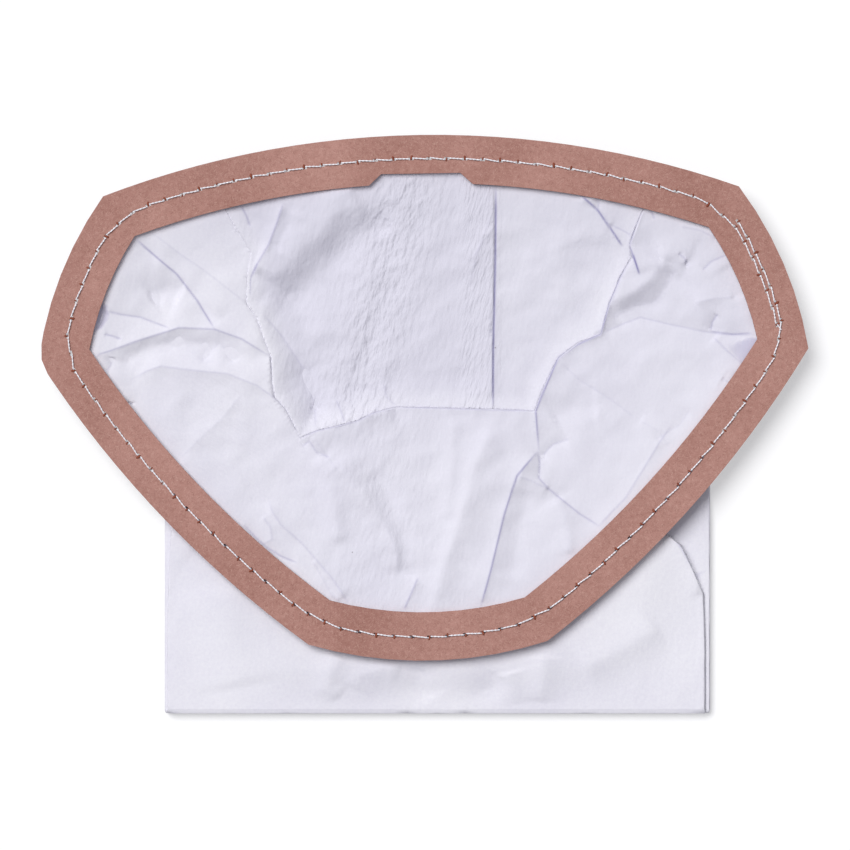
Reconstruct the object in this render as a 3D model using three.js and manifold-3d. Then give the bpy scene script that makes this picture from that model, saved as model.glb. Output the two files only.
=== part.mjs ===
import * as THREE from 'three';
import Module from 'manifold-3d';

const wasm = await Module();
wasm.setup();

// Sizes of the cardboard collar, in millimetres and degrees
const collarWidth = 340;         // between the two side corners
const collarTopWidth = 280.8;    // between the two upper corners
const collarBottomWidth = 105.6; // between the two lower corners
const topCornerRise = 199.4;     // upper corners above the lower corners
const sideCornerRise = 127.4;    // side corners above the lower corners
const topBulge = 24.9;           // how far each edge bows outward
const sideBulge = 4.7;
const diagonalBulge = 8;
const bottomBulge = 7.9;
const bandWidth = 21.3;
const boardThickness = 1.8;
const cornerBlunt = 4.5;         // the left side corner is worn round
const collarTurn = 0.9;
const notchTopWidth = 35;
const notchBaseWidth = 46;
const notchDepth = 5;

// Sizes of the seam
const stitchPitch = 7.9;
const threadThickness = 0.8;
const holeLength = 2.3;
const holeWidth = 1.2;
const rowSpread = 1.1;           // half the distance between the two overlapping rows
const seamCornerCut = 9;

// Sizes of the paper bag
const paperThickness = 0.36;
const layerPitch = 0.72;         // from one flat layer to the next
const tubeWidth = 241.6;
const gussetDepth = 88.3;
const tubeOffset = 5.75;         // the tube's middle line, right of the collar's
const tubeFoot = 127.8;          // the folded lower edge, below the middle of the part
const foldBack = 150;            // length folded under the lower edge
const glueStrip = 9;
const edgeStep = 2.2;            // the front panel is this much narrower at each side
const collarLift = 12;           // underside of the collar above the table
const foldRadius = 0.6;

// Outline of the collar at any distance in from its outer edge
const turn = THREE.MathUtils.degToRad(collarTurn);
const steps = [26, 6, 15, 9, 15, 6];
const lipShare = 0.62;           // how far into the band the flat paper lip reaches
const hub = 0.5015;              // height of the collar's middle, as a share of topCornerRise
function outlineOf(width, topWidth, bottomWidth, topRise, sideRise, bows) {
  const low = -topRise * hub;
  const tips = [
    [topWidth / 2, low + topRise], [-topWidth / 2, low + topRise], [-width / 2, low + sideRise],
    [-bottomWidth / 2, low], [bottomWidth / 2, low], [width / 2, low + sideRise],
  ].map(([x, y]) => new THREE.Vector2(x, y));
  const arcs = tips.map((a, i) => {
    const b = tips[(i + 1) % 6];
    const half = a.distanceTo(b) / 2;
    const radius = (half * half + bows[i] ** 2) / (2 * bows[i]);
    const inward = new THREE.Vector2(-(b.y - a.y), b.x - a.x).normalize();
    return { centre: a.clone().add(b).multiplyScalar(0.5).addScaledVector(inward, radius - bows[i]), radius };
  });
  return { tips, arcs };
}
const outline = outlineOf(collarWidth, collarTopWidth, collarBottomWidth, topCornerRise, sideCornerRise,
  [topBulge, sideBulge, diagonalBulge, bottomBulge, diagonalBulge, sideBulge]);
const corners = outline.tips;
const circles = outline.arcs;
const lowerY = corners[3].y;

function meet(c, d, inset, near) {
  const r = c.radius - inset;
  const s = d.radius - inset;
  const gap = d.centre.clone().sub(c.centre);
  const dist = gap.length();
  const along = (dist * dist + r * r - s * s) / (2 * dist);
  const up = Math.sqrt(Math.max(r * r - along * along, 0));
  gap.normalize();
  const base = c.centre.clone().addScaledVector(gap, along);
  const side = new THREE.Vector2(-gap.y, gap.x);
  const one = base.clone().addScaledVector(side, up);
  const two = base.clone().addScaledVector(side, -up);
  return one.distanceTo(near) < two.distanceTo(near) ? one : two;
}

function rim(inset, cut = 0, shape = outline) {
  const tips = shape.tips.map((p, i) => meet(shape.arcs[(i + 5) % 6], shape.arcs[i], inset, p));
  const out = [];
  shape.arcs.forEach((c, i) => {
    const from = tips[i].clone().sub(c.centre).angle();
    let to = tips[(i + 1) % 6].clone().sub(c.centre).angle();
    if (to < from) to += 2 * Math.PI;
    const trim = cut / (c.radius - inset);
    const start = from + trim;
    const end = to - trim;
    const count = cut ? steps[i] + 1 : steps[i];
    for (let k = 0; k < count; k++) {
      const a = start + (end - start) * k / steps[i];
      out.push(new THREE.Vector2(c.centre.x + (c.radius - inset) * Math.cos(a), c.centre.y + (c.radius - inset) * Math.sin(a)));
    }
  });
  return out;
}
const collarRaise = 3.6;         // the collar's middle above the middle of the tube's mouth
const settle = p => new THREE.Vector2(
  p.x * Math.cos(turn) - p.y * Math.sin(turn),
  p.x * Math.sin(turn) + p.y * Math.cos(turn) + collarRaise);

// Fold marks were read on a drawing of a collar 340 wide and turned by 0.9 degrees. Each
// keeps its share of the way from the collar's middle to the edge of the paper lip
const drawnUnit = 0.4416;
const drawn = rim(21.3 * lipShare, 0, outlineOf(340, 280.8, 105.6, 199.4, 127.4, [24.9, 4.7, 8, 7.9, 8, 4.7]));
const real = rim(bandWidth * lipShare);
function reach(loop, way) {
  let best = 0;
  loop.forEach((a, i) => {
    const b = loop[(i + 1) % loop.length];
    const ex = b.x - a.x;
    const ey = b.y - a.y;
    const det = way.x * ey - way.y * ex;
    const t = (a.x * ey - a.y * ex) / det;
    const u = (a.x * way.y - a.y * way.x) / det;
    if (t > 0 && u >= -1e-9 && u <= 1 + 1e-9) best = Math.max(best, t);
  });
  return best;
}
const lift = collarLift / 12;
function place(u, v, z) {
  const p = new THREE.Vector2((u - 424.5) * drawnUnit, (416.36 - v) * drawnUnit).rotateAround(new THREE.Vector2(), -THREE.MathUtils.degToRad(0.9));
  const way = p.clone().normalize();
  const q = settle(p.multiplyScalar(reach(real, way) / reach(drawn, way)));
  return { x: q.x, y: q.y, z: z * lift };
}

// Stitch marks, with the end of the row lapped over its start
const seamInset = bandWidth * 0.49;
const seamLoop = rim(seamInset, seamCornerCut);
const seamStart = steps[0] + 1 + steps[1] + 1 + steps[2] + 1 + steps[3] + 1 + steps[4] + 1;
const seamPath = [];
for (let k = 0; k < seamLoop.length; k++) seamPath.push(seamLoop[(seamStart + k) % seamLoop.length]);
seamPath.reverse();
const lapCount = steps[5] + 1;
const travel = [...seamPath.slice(seamPath.length - lapCount), ...seamPath.slice(0, seamPath.length)];

function walk(path, pitch) {
  const out = [];
  let total = 0;
  for (let i = 1; i < path.length; i++) total += path[i].distanceTo(path[i - 1]);
  const count = Math.round(total / pitch);
  const step = total / count;
  let run = 0;
  let next = 0;
  for (let i = 1; i < path.length; i++) {
    const leg = path[i].distanceTo(path[i - 1]);
    while (next <= run + leg + 1e-6 && out.length <= count) {
      out.push({ p: path[i - 1].clone().lerp(path[i], (next - run) / leg), s: next });
      next += step;
    }
    run += leg;
  }
  return { marks: out, total, step };
}
const seam = walk(travel, stitchPitch);
let lapLength = 0;
for (let i = 1; i < lapCount; i++) lapLength += travel[i].distanceTo(travel[i - 1]);
const ease = t => t <= 0 ? 0 : t >= 1 ? 1 : t * t * (3 - 2 * t);
seam.marks.forEach((m, i) => {
  const before = seam.marks[Math.max(i - 1, 0)].p;
  const after = seam.marks[Math.min(i + 1, seam.marks.length - 1)].p;
  m.forward = after.clone().sub(before).normalize();
});
seam.marks.forEach(m => {
  const lead = 1 - ease((m.s - lapLength) / (3 * seam.step));
  const tail = ease((m.s - (seam.total - lapLength - 3 * seam.step)) / (3 * seam.step));
  const side = new THREE.Vector2(-m.forward.y, m.forward.x);
  m.p.addScaledVector(side, rowSpread * (lead - tail));
});
seam.marks.forEach(m => {
  m.p = settle(m.p);
  m.forward.rotateAround(new THREE.Vector2(), turn);
});

// Solid helpers
function toManifold(geometry) {
  const g = geometry.index ? geometry.toNonIndexed() : geometry;
  const at = g.attributes.position;
  const keys = new Map();
  const points = [];
  const faces = [];
  for (let i = 0; i < at.count; i++) {
    const key = [at.getX(i), at.getY(i), at.getZ(i)].map(v => Math.round(v * 1e4)).join();
    if (!keys.has(key)) {
      keys.set(key, points.length / 3);
      points.push(at.getX(i), at.getY(i), at.getZ(i));
    }
    faces.push(keys.get(key));
  }
  const kept = [];
  for (let i = 0; i < faces.length; i += 3) {
    const [a, b, c] = faces.slice(i, i + 3);
    if (a !== b && b !== c && c !== a) kept.push(a, b, c);
  }
  return new wasm.Manifold(new wasm.Mesh({ numProp: 3, vertProperties: new Float32Array(points), triVerts: new Uint32Array(kept) }));
}
function fromManifold(solid) {
  const mesh = solid.getMesh();
  const g = new THREE.BufferGeometry();
  g.setAttribute('position', new THREE.BufferAttribute(new Float32Array(mesh.vertProperties), 3));
  g.setIndex(Array.from(mesh.triVerts));
  const flat = g.toNonIndexed();
  flat.computeVertexNormals();
  return flat;
}
function plate(outline, low, high, holes = []) {
  const shape = new THREE.Shape(outline);
  shape.holes = holes.map(h => new THREE.Path(h));
  const g = new THREE.ExtrudeGeometry(shape, { depth: high - low, bevelEnabled: false, steps: 1 });
  g.translate(0, 0, low);
  return toManifold(g);
}
const holeOutline = m => {
  const side = new THREE.Vector2(-m.forward.y, m.forward.x);
  return [[-1, -1], [1, -1], [1, 1], [-1, 1]].map(([f, s]) => m.p.clone()
    .addScaledVector(m.forward, f * holeLength / 2).addScaledVector(side, s * holeWidth / 2));
};
const holeCutters = (low, high) => seam.marks.map(m => plate(holeOutline(m), low, high));

// Collar: a bowed six-cornered ring with a notch in its upper inner edge
function blunt(loop) {
  const tip = meet(circles[1], circles[2], 0, corners[2]);
  const out = [];
  loop.forEach((p, i) => {
    if (p.distanceTo(tip) > 0.01) { out.push(p); return; }
    const before = loop[i - 1];
    const after = loop[i + 1];
    for (const t of [0, 0.5, 1]) {
      const a = p.clone().lerp(before, Math.min(cornerBlunt * 1.6 / p.distanceTo(before), 0.9));
      const b = p.clone().lerp(after, Math.min(cornerBlunt * 1.6 / p.distanceTo(after), 0.9));
      out.push(a.clone().multiplyScalar((1 - t) ** 2).addScaledVector(p, 2 * t * (1 - t)).addScaledVector(b, t * t));
    }
  });
  return out;
}
const innerTop = circles[0].centre.y + Math.sqrt((circles[0].radius - bandWidth) ** 2 - (notchBaseWidth / 2) ** 2);
const collarTop = collarLift + boardThickness;
const notch = [[notchBaseWidth / 2 + 1, innerTop - 1], [notchTopWidth / 2, innerTop + notchDepth], [-notchTopWidth / 2, innerTop + notchDepth], [-notchBaseWidth / 2 - 1, innerTop - 1]]
  .map(([x, y]) => settle(new THREE.Vector2(x, y)));
const collarSolid = wasm.Manifold.difference([
  plate(blunt(rim(0)).map(settle), collarLift, collarTop, [rim(bandWidth).map(settle)]),
  plate(notch, collarLift - 1, collarTop + 1),
  ...holeCutters(collarLift - 1, collarTop + 1),
]);

// Sheet of the bag: middle-surface points, each with the direction of the bag's inside
const sheet = [];
const facets = [];
function vertex(p, way) { sheet.push({ ...p, way }); return sheet.length - 1; }
const up = s => ({ x: 0, y: 0, z: s });
function strip(a, b) {
  for (let i = 0; i + 1 < Math.min(a.length, b.length); i++) {
    if (a[i] !== b[i]) facets.push([a[i], a[i + 1], b[i]]);
    if (a[i + 1] !== b[i + 1]) facets.push([a[i + 1], b[i + 1], b[i]]);
  }
}
const cross = (a, b, c) => (b.x - a.x) * (c.y - a.y) - (b.y - a.y) * (c.x - a.x);

// Flat triangulation of one panel that keeps its outline and its creases as edges
function panel(outline, inside, creases = []) {
  const ids = [...new Set([...outline, ...inside])];
  const pts = ids.map((id, i) => ({ x: sheet[id].x + 1e-5 * Math.sin(i * 12.9), y: sheet[id].y + 1e-5 * Math.cos(i * 7.7), id }));
  const n = pts.length;
  const far = 1e4;
  const all = [...pts, { x: -far, y: -far }, { x: far, y: -far }, { x: 0, y: far }];
  let tris = [[n, n + 1, n + 2]];
  const inCircle = (t, p) => {
    const [a, b, c] = t.map(i => all[i]);
    const ax = a.x - p.x, ay = a.y - p.y, bx = b.x - p.x, by = b.y - p.y, cx = c.x - p.x, cy = c.y - p.y;
    return (ax * ax + ay * ay) * (bx * cy - cx * by) - (bx * bx + by * by) * (ax * cy - cx * ay) + (cx * cx + cy * cy) * (ax * by - bx * ay) > 0;
  };
  for (let i = 0; i < n; i++) {
    const bad = tris.filter(t => inCircle(t, all[i]));
    const edges = new Map();
    bad.forEach(t => [[0, 1], [1, 2], [2, 0]].forEach(([a, b]) => edges.set(t[a] + ' ' + t[b], [t[a], t[b]])));
    tris = tris.filter(t => !bad.includes(t));
    for (const [a, b] of edges.values()) if (!edges.has(b + ' ' + a)) tris.push([a, b, i]);
  }
  const index = new Map(pts.map((p, i) => [p.id, i]));
  const wanted = outline.map((id, i) => [id, outline[(i + 1) % outline.length]]);
  creases.forEach(c => c.slice(1).forEach((id, i) => wanted.push([c[i], id])));
  const crosses = (a, b, c, d) => {
    if (a === c || a === d || b === c || b === d) return false;
    return cross(all[a], all[b], all[c]) * cross(all[a], all[b], all[d]) < 0 && cross(all[c], all[d], all[a]) * cross(all[c], all[d], all[b]) < 0;
  };
  for (const [p, q] of wanted.map(w => w.map(id => index.get(id)))) {
    for (let guard = 0; guard < 400; guard++) {
      const edges = new Map();
      tris.forEach(t => [[0, 1, 2], [1, 2, 0], [2, 0, 1]].forEach(([a, b, c]) => edges.set(t[a] + ' ' + t[b], { t, far: t[c] })));
      if (edges.has(p + ' ' + q) || edges.has(q + ' ' + p)) break;
      const hits = [...edges.entries()].filter(([key]) => {
        const [a, b] = key.split(' ').map(Number);
        return a < b && crosses(p, q, a, b);
      });
      let done = false;
      for (let h = 0; h < hits.length && !done; h++) {
        const [a, b] = hits[(h + guard) % hits.length][0].split(' ').map(Number);
        const one = edges.get(a + ' ' + b);
        const two = edges.get(b + ' ' + a);
        if (!two) continue;
        if (cross(all[one.far], all[a], all[two.far]) > 0 && cross(all[two.far], all[b], all[one.far]) > 0) {
          tris = tris.filter(t => t !== one.t && t !== two.t);
          tris.push([one.far, a, two.far], [two.far, b, one.far]);
          done = true;
        }
      }
      if (!done) break;
    }
  }
  const loop = outline.map(id => all[index.get(id)]);
  const within = (x, y) => {
    let odd = false;
    loop.forEach((a, i) => {
      const b = loop[(i + 1) % loop.length];
      if ((a.y > y) !== (b.y > y) && x < (b.x - a.x) * (y - a.y) / (b.y - a.y) + a.x) odd = !odd;
    });
    return odd;
  };
  tris.forEach(t => {
    if (t.some(i => i >= n)) return;
    const [a, b, c] = t.map(i => all[i]);
    if (within((a.x + b.x + c.x) / 3, (a.y + b.y + c.y) / 3)) facets.push(t.map(i => all[i].id));
  });
}

// One fold: its crown row, and a row of the sheet on each side of it
function fold(points, outward, insideOut, first, last, tilt) {
  const crown = points.map((p, i) => {
    const a = points[Math.max(i - 1, 0)];
    const b = points[Math.min(i + 1, points.length - 1)];
    let nx = b.y - a.y;
    let ny = a.x - b.x;
    const len = Math.hypot(nx, ny);
    nx *= outward / len;
    ny *= outward / len;
    const lean = i < first || i > last ? tilt : 0;
    const size = Math.hypot(1, lean);
    return { nx, ny, id: vertex(p, { x: nx * insideOut / size, y: ny * insideOut / size, z: lean / size }) };
  });
  const row = (s, way) => points.map((p, i) => {
    if (i < first || i > last) return crown[i].id;
    return vertex({ x: p.x - crown[i].nx * foldRadius, y: p.y - crown[i].ny * foldRadius, z: p.z + s * layerPitch / 2 }, up(way));
  });
  return { crown: crown.map(c => c.id), row };
}

// Flat lip against the underside of the collar, sewn through
const lipHeight = collarLift - paperThickness / 2;
const lipOuter = rim(bandWidth * 0.24).map(settle).map(p => vertex({ x: p.x, y: p.y, z: lipHeight }, up(1)));
const lipInner = rim(bandWidth * lipShare).map(settle).map(p => vertex({ x: p.x, y: p.y, z: lipHeight }, up(1)));
strip([...lipOuter, lipOuter[0]], [...lipInner, lipInner[0]]);
const lipNear = (u, v) => {
  const p = place(u, v, 0);
  let best = 0;
  lipInner.forEach((id, i) => {
    const d = Math.hypot(sheet[id].x - p.x, sheet[id].y - p.y);
    if (d < Math.hypot(sheet[lipInner[best]].x - p.x, sheet[lipInner[best]].y - p.y)) best = i;
  });
  return best;
};
const leftPleat = lipNear(208, 193);
const rightPleat = lipNear(668, 196);
const span = (from, to) => {
  const out = [];
  for (let i = from; ; i = (i + 1) % lipInner.length) { out.push(lipInner[i]); if (i === to) break; }
  return out;
};

// Lower part of the tube: four flat layers with tucked gussets, folded under at the foot
const leftX = tubeOffset - tubeWidth / 2;
const rightX = tubeOffset + tubeWidth / 2;
const innerLeft = leftX + gussetDepth;
const innerRight = rightX - gussetDepth;
const gapLeft = innerLeft + (innerRight - innerLeft) * 0.3;
const gapRight = innerRight - (innerRight - innerLeft) * 0.3;
const stackHeight = layerPitch * 4;
const tubeStart = lowerY - bottomBulge + collarRaise + 9.1;
const endPitch = paperThickness + 0.06;
function station(y, angle, pitch, inset = 0) {
  const ring = (k, x, wx, ws, z, dx = 0) => {
    const rho = (z - 0) * pitch;
    const centre = -tubeFoot + 3.5 * layerPitch;
    const yy = angle === 0 || angle === Math.PI ? y : centre - rho * Math.sin(angle);
    const way = wx ? { x: wx, y: 0, z: 0 } : { x: 0, y: -Math.sin(angle) * ws, z: Math.cos(angle) * ws };
    return vertex({ x: x + dx, y: yy + inset, z: stackHeight + rho * Math.cos(angle) }, way);
  };
  const r = foldRadius;
  return [
    ring(0, leftX, 1, 0, 1),
    ring(1, leftX + r, 0, 1, 0.5),
    ring(2, gapLeft, 0, 1, 0.5),
    ring(3, gapRight, 0, 1, 0.5),
    ring(4, rightX - r, 0, 1, 0.5),
    ring(5, rightX, -1, 0, 1),
    ring(6, rightX - r, 0, -1, 1.5),
    ring(7, innerRight + r, 0, -1, 1.5),
    ring(8, innerRight, -1, 0, 2),
    ring(9, innerRight + r, 0, 1, 2.5),
    ring(10, rightX - edgeStep - r, 0, 1, 2.5),
    ring(11, rightX - edgeStep, -1, 0, 3),
    ring(12, rightX - edgeStep - r, 0, -1, 3.5),
    ring(13, gapRight, 0, -1, 3.5),
    ring(14, gapLeft, 0, -1, 3.5),
    ring(15, leftX + edgeStep + r, 0, -1, 3.5),
    ring(16, leftX + edgeStep, 1, 0, 3),
    ring(17, leftX + edgeStep + r, 0, 1, 2.5),
    ring(18, innerLeft - r, 0, 1, 2.5),
    ring(19, innerLeft, 1, 0, 2),
    ring(20, innerLeft - r, 0, -1, 1.5),
    ring(21, leftX + r, 0, -1, 1.5),
  ];
}
const footTop = -tubeFoot + 3.5 * layerPitch;
const stations = [
  station(tubeStart, 0, layerPitch),
  station(footTop + (tubeStart - footTop) * 0.6, 0, layerPitch),
  station(footTop, 0, layerPitch),
  station(0, Math.PI / 4, layerPitch),
  station(0, Math.PI / 2, layerPitch),
  station(0, Math.PI * 3 / 4, layerPitch),
  station(footTop, Math.PI, layerPitch),
  station(footTop + 18, Math.PI, layerPitch),
  station(footTop + foldBack - glueStrip - 10, Math.PI, layerPitch),
  station(footTop + foldBack - glueStrip, Math.PI, endPitch),
  station(footTop + foldBack, Math.PI, endPitch),
];
for (let i = 0; i + 1 < stations.length; i++) {
  strip([...stations[i], stations[i][0]], [...stations[i + 1], stations[i + 1][0]]);
}
const base = stations[0];

// Edge of the upper layer round the mouth, from the upper left to the upper right
const edgeMarks = [
  [222, 204, 11.2], [237, 230, 9.8], [251, 251, 9.1], [247, 277, 8.5], [246.5, 303, 8.1], [257.5, 319, 8], [265, 342, 8], [271, 357, 8], [272, 381.5, 7.9], [274.5, 397, 7.9], [286, 410, 7.9], [294, 426, 7.9],
  [300, 438, 7.9],
  [316, 431, 7.9], [333, 427, 7.9], [357, 421, 7.9], [373, 413, 8], [396, 407, 8], [440, 408, 8], [493, 409, 8],
  [535, 411, 8],
  [543, 389, 8.2], [558.6, 357.5, 8.6], [578, 343, 8.6], [601, 334, 8.8], [609.6, 303, 8.8], [620, 278, 9], [632, 257, 9.2], [630, 243, 9.6], [643, 210, 10.8], [660, 202, 11.3],
];
const leftTurn = 12;
const rightTurn = 20;
const edgeFold = fold(edgeMarks.map(m => place(...m)), -1, 1, 1, edgeMarks.length - 2, 1);
const edgeUpper = edgeFold.row(1, 1);
const edgeLower = edgeFold.row(-1, -1);
strip(edgeFold.crown, edgeUpper);
strip(edgeFold.crown, edgeLower);

// Folds that run from the mouth to the flat part of the tube: each mark is its share of
// the way across and along, then its height
const onStack = z => Math.max(z * lift, stackHeight + layerPitch);
const runTo = (start, endX, marks) => [start, ...marks.map(([across, along, z]) => ({
  x: start.x + (endX - start.x) * across,
  y: start.y + (tubeStart - start.y) * along,
  z: onStack(z),
}))];
const sideMarks = [[0.41, 0.084, 7], [0.73, 0.2, 5], [0.935, 0.336, 3.9], [1, 0.496, 3.6], [1, 0.68, 3.6], [1, 0.84, 3.6]];
const frontMarks = [[0.45, 0.235, 6.35], [0.85, 0.485, 5.7], [0.99, 0.75, 5.2]];
const middleMarks = [[0.395, 0.246, 4.9], [0.8, 0.52, 4.6], [0.975, 0.76, 4.4]];
function longFold(points, outward, insideOut, tilt, crownId, upper, lower) {
  const f = fold(points, outward, insideOut, 1, points.length - 1, tilt);
  const rows = { crown: [...f.crown, crownId], upper: [...f.row(1, upper.way), upper.id], lower: [...f.row(-1, lower.way), lower.id] };
  strip(rows.crown, rows.upper);
  strip(rows.crown, rows.lower);
  return rows;
}

// Side folds of the tube, between the back panel and the gusset
const sideFold = (start, endX, outward, crownId, backId, gussetId) =>
  longFold(runTo(start, endX, sideMarks), outward, -1, 1, crownId, { id: gussetId, way: -1 }, { id: backId, way: 1 });
const leftSide = sideFold(place(221.4, 204.3, 9.1), leftX, 1, base[0], base[1], base[21]);
const rightSide = sideFold(place(660.6, 202.2, 9.1), rightX, -1, base[5], base[4], base[6]);

// Folds between the front panel and each gusset, and the gussets' middle creases
const frontEdge = (start, endX, outward, crownId, frontId, gussetId) =>
  longFold(runTo(start, endX, frontMarks), outward, -1, -1, crownId, { id: frontId, way: -1 }, { id: gussetId, way: 1 });
const middleFold = (start, endX, outward, crownId, upperId, lowerId) =>
  longFold(runTo(start, endX, middleMarks), outward, 1, -1, crownId, { id: upperId, way: 1 }, { id: lowerId, way: -1 });
const leftFront = frontEdge(place(278, 483, 6.8), leftX + edgeStep, 1, base[16], base[15], base[17]);
const leftMiddle = middleFold(place(278.6, 483.3, 5.2), innerLeft, -1, base[19], base[18], base[20]);
const rightFront = frontEdge(place(550, 457, 6.8), rightX - edgeStep, -1, base[11], base[12], base[10]);
const rightMiddle = middleFold(place(549.4, 457.3, 5.2), innerRight, 1, base[8], base[9], base[7]);

// Where each hidden pleat starts
const point = (u, v, z, way) => vertex(place(u, v, z), up(way));
const leftForkGusset = point(281, 453, 7, -1);
const leftForkFront = point(299, 462, 7, -1);
const rightForkGusset = point(553, 427, 7.2, -1);
const rightForkFront = point(534, 435, 7.2, -1);
function fork(turnId, gussetId, frontId, middleId, frontFoldId) {
  facets.push([turnId, frontId, gussetId], [gussetId, frontId, middleId], [frontId, frontFoldId, middleId]);
}
fork(edgeLower[leftTurn], leftForkGusset, leftForkFront, leftMiddle.crown[0], leftFront.crown[0]);
fork(edgeLower[rightTurn], rightForkGusset, rightForkFront, rightMiddle.crown[0], rightFront.crown[0]);

// Starts of the two visible pleats at the collar
const before = i => lipInner[(i + lipInner.length - 1) % lipInner.length];
const after = i => lipInner[(i + 1) % lipInner.length];
facets.push([before(leftPleat), lipInner[leftPleat], leftSide.crown[0]], [lipInner[leftPleat], edgeFold.crown[0], leftSide.crown[0]]);
const lastEdge = edgeFold.crown[edgeFold.crown.length - 1];
facets.push([after(rightPleat), lipInner[rightPleat], rightSide.crown[0]], [lipInner[rightPleat], lastEdge, rightSide.crown[0]]);

// Upper layer: the pleated sides and the front panel inside the mouth
const line = marks => marks.map(m => vertex(place(...m), up(1)));
const upperLines = [
  [[135, 240, 10.6], [155, 256, 9.5], [176, 273, 9], [196, 298, 8.8], [213, 328, 8.6]],
  [[176, 251, 9], [213, 279.5, 8.7]],
  [[200, 238, 9.9], [215, 262, 9]],
  [[110, 313, 9.6], [142, 317, 8.6], [176, 326, 8.6]],
  [[125, 294, 9.1], [150, 290, 8.2]],
  [[108, 353, 9.9], [134.6, 342, 9.5], [160, 333, 9.1], [181.7, 327, 8.8], [239, 338, 8.5], [257, 350, 8.3]],
  [[150, 352, 8.6], [200, 350, 8.2], [240, 362, 8.1]],
  [[160.8, 367, 9.2], [187, 370.5, 9.1], [226, 375, 8.8], [252, 387, 8.5]],
  [[128, 388, 8.8], [165, 410, 9.4], [200, 430, 9.1]],
  [[250, 430, 8.7], [215, 490, 10], [240, 480, 9.3]],
  [[280, 470, 8.7]],
  [[273, 505, 9], [286, 528, 9.1], [307, 549, 9.4], [328, 580, 9.9], [347, 600, 10.7]],
  [[262, 544, 9.9], [291, 566, 10.3]],
  [[317, 445, 8.6], [333, 457, 8.8], [359, 486, 8.9], [377, 512, 9], [393, 546, 9.4], [397, 583, 10.1]],
  [[350, 440, 9.1], [400, 440, 9.2], [450, 440, 9.1], [500, 440, 9]],
  [[340, 483, 9.1], [345, 520, 9.4], [365, 560, 9.9]],
  [[405, 500, 9.7], [415, 545, 10], [430, 580, 10.3]],
  [[460, 500, 9.7], [455, 560, 10.1]],
  [[490, 490, 9.5], [475, 560, 10.2]],
  [[537, 452, 8.7], [517, 477, 8.7], [505, 519, 9], [492, 567, 9.8], [481, 604, 10.8]],
  [[553, 420, 9.2], [566, 395, 9.5], [582, 366, 9.4], [602, 360, 9.5]],
  [[552.8, 451, 9.2], [570, 441, 9.5], [590, 445, 9.8]],
  [[545, 479, 9], [560, 492, 9.3], [575, 504, 9.6], [599, 527, 10], [613.5, 510.6, 10.1], [640, 468, 10.2], [661, 439, 10.3]],
  [[528, 492, 9.1], [524, 525, 9.4], [550, 530, 9.8]],
  [[520, 570, 10.2], [560, 560, 10.4]],
  [[640, 385, 9.8], [633, 412, 9.8], [605, 400, 9.9]],
  [[642, 317, 9.7], [681, 325, 9.8], [715, 330, 9.6], [745, 338, 9.4]],
  [[744, 366, 8.9], [728, 353, 8.7]],
  [[740, 352, 7.9]],
  [[650, 350, 9.6], [690, 370, 9.5], [700, 400, 10.1]],
  [[640, 283, 8.8], [665, 262, 8.9], [690, 243, 9.6]],
  [[640, 305, 9.5], [670, 285, 9.9], [700, 272, 10.1], [727, 258, 10.4]],
  [[725, 300, 9.9]],
  [[650, 245, 9.3], [664, 232, 9.9], [690, 222, 10.5]],
].map(line);
panel(
  [...span(leftPleat, rightPleat), ...[...edgeUpper].reverse()],
  upperLines.flat(), upperLines);

// Back panel: inside the mouth and on under the upper layer
const backLines = [
  [[246, 226, 8.5], [262, 252, 7.2], [258, 277, 6.8], [260, 303, 6.4]],
  [[285, 201, 11], [273, 225, 9.4], [268, 238, 8.6]],
  [[275, 325, 5.8], [298, 352, 5.1], [310, 375, 4.7], [314, 400, 4.5], [315, 428, 4.3]],
  [[300, 305, 6.7], [325, 350, 6.4], [335, 390, 6]],
  [[300, 262, 7.1], [350, 232, 8.4], [395, 205, 10.2]],
  [[322, 283, 7.7], [372, 252, 8.9], [405, 225, 9.6]],
  [[310, 222, 9.5], [345, 207, 10.4]],
  [[344, 407, 5.8], [367, 355, 7], [380, 316, 7.4], [391, 277, 8]],
  [[430, 215, 9.9], [430, 260, 8.3], [430, 310, 7.3], [430, 360, 6.6], [430, 400, 6]],
  [[497, 205, 10.2], [497, 240, 8.9], [497, 290, 7.7], [497, 340, 6.9], [497, 385, 6.2], [497, 412, 5.7]],
  [[540, 215, 9.9], [560, 250, 8.7], [560, 300, 7.8], [540, 340, 7], [520, 385, 6.2]],
  [[560, 358, 6.2], [595, 334, 6.6], [600, 303, 7], [614, 272, 7.5]],
  [[581, 196, 11], [600, 210, 9.9], [610, 225, 8.9], [618, 243, 7.9]],
  [[630, 214, 9]],
  [[220, 250, 7.4], [205, 310, 4.9], [215, 370, 3.5], [215, 420, 3.4]],
  [[255, 345, 4.9], [262, 381, 4.4]],
  [[666, 250, 7.2], [668, 310, 5], [672, 370, 3.5], [640, 400, 3.5], [650, 430, 3.4]],
  [[610, 350, 5], [580, 390, 4.4]],
  [[350, 450, 4], [430, 450, 4.4], [510, 450, 4.1]],
  [[230, 520, 3.3], [430, 540, 3.4], [630, 520, 3.3]],
].map(marks => line(marks.map(([u, v, z]) => [u, v, z])));
backLines.flat().forEach(id => {
  sheet[id].z = Math.max(sheet[id].z, stackHeight + layerPitch * 0.5);
});
panel(
  [...span(after(rightPleat) === lipInner[0] ? 0 : (rightPleat + 1) % lipInner.length, (leftPleat + lipInner.length - 1) % lipInner.length),
    ...leftSide.lower, base[2], base[3], ...[...rightSide.lower].reverse()],
  backLines.flat(), backLines);

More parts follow.
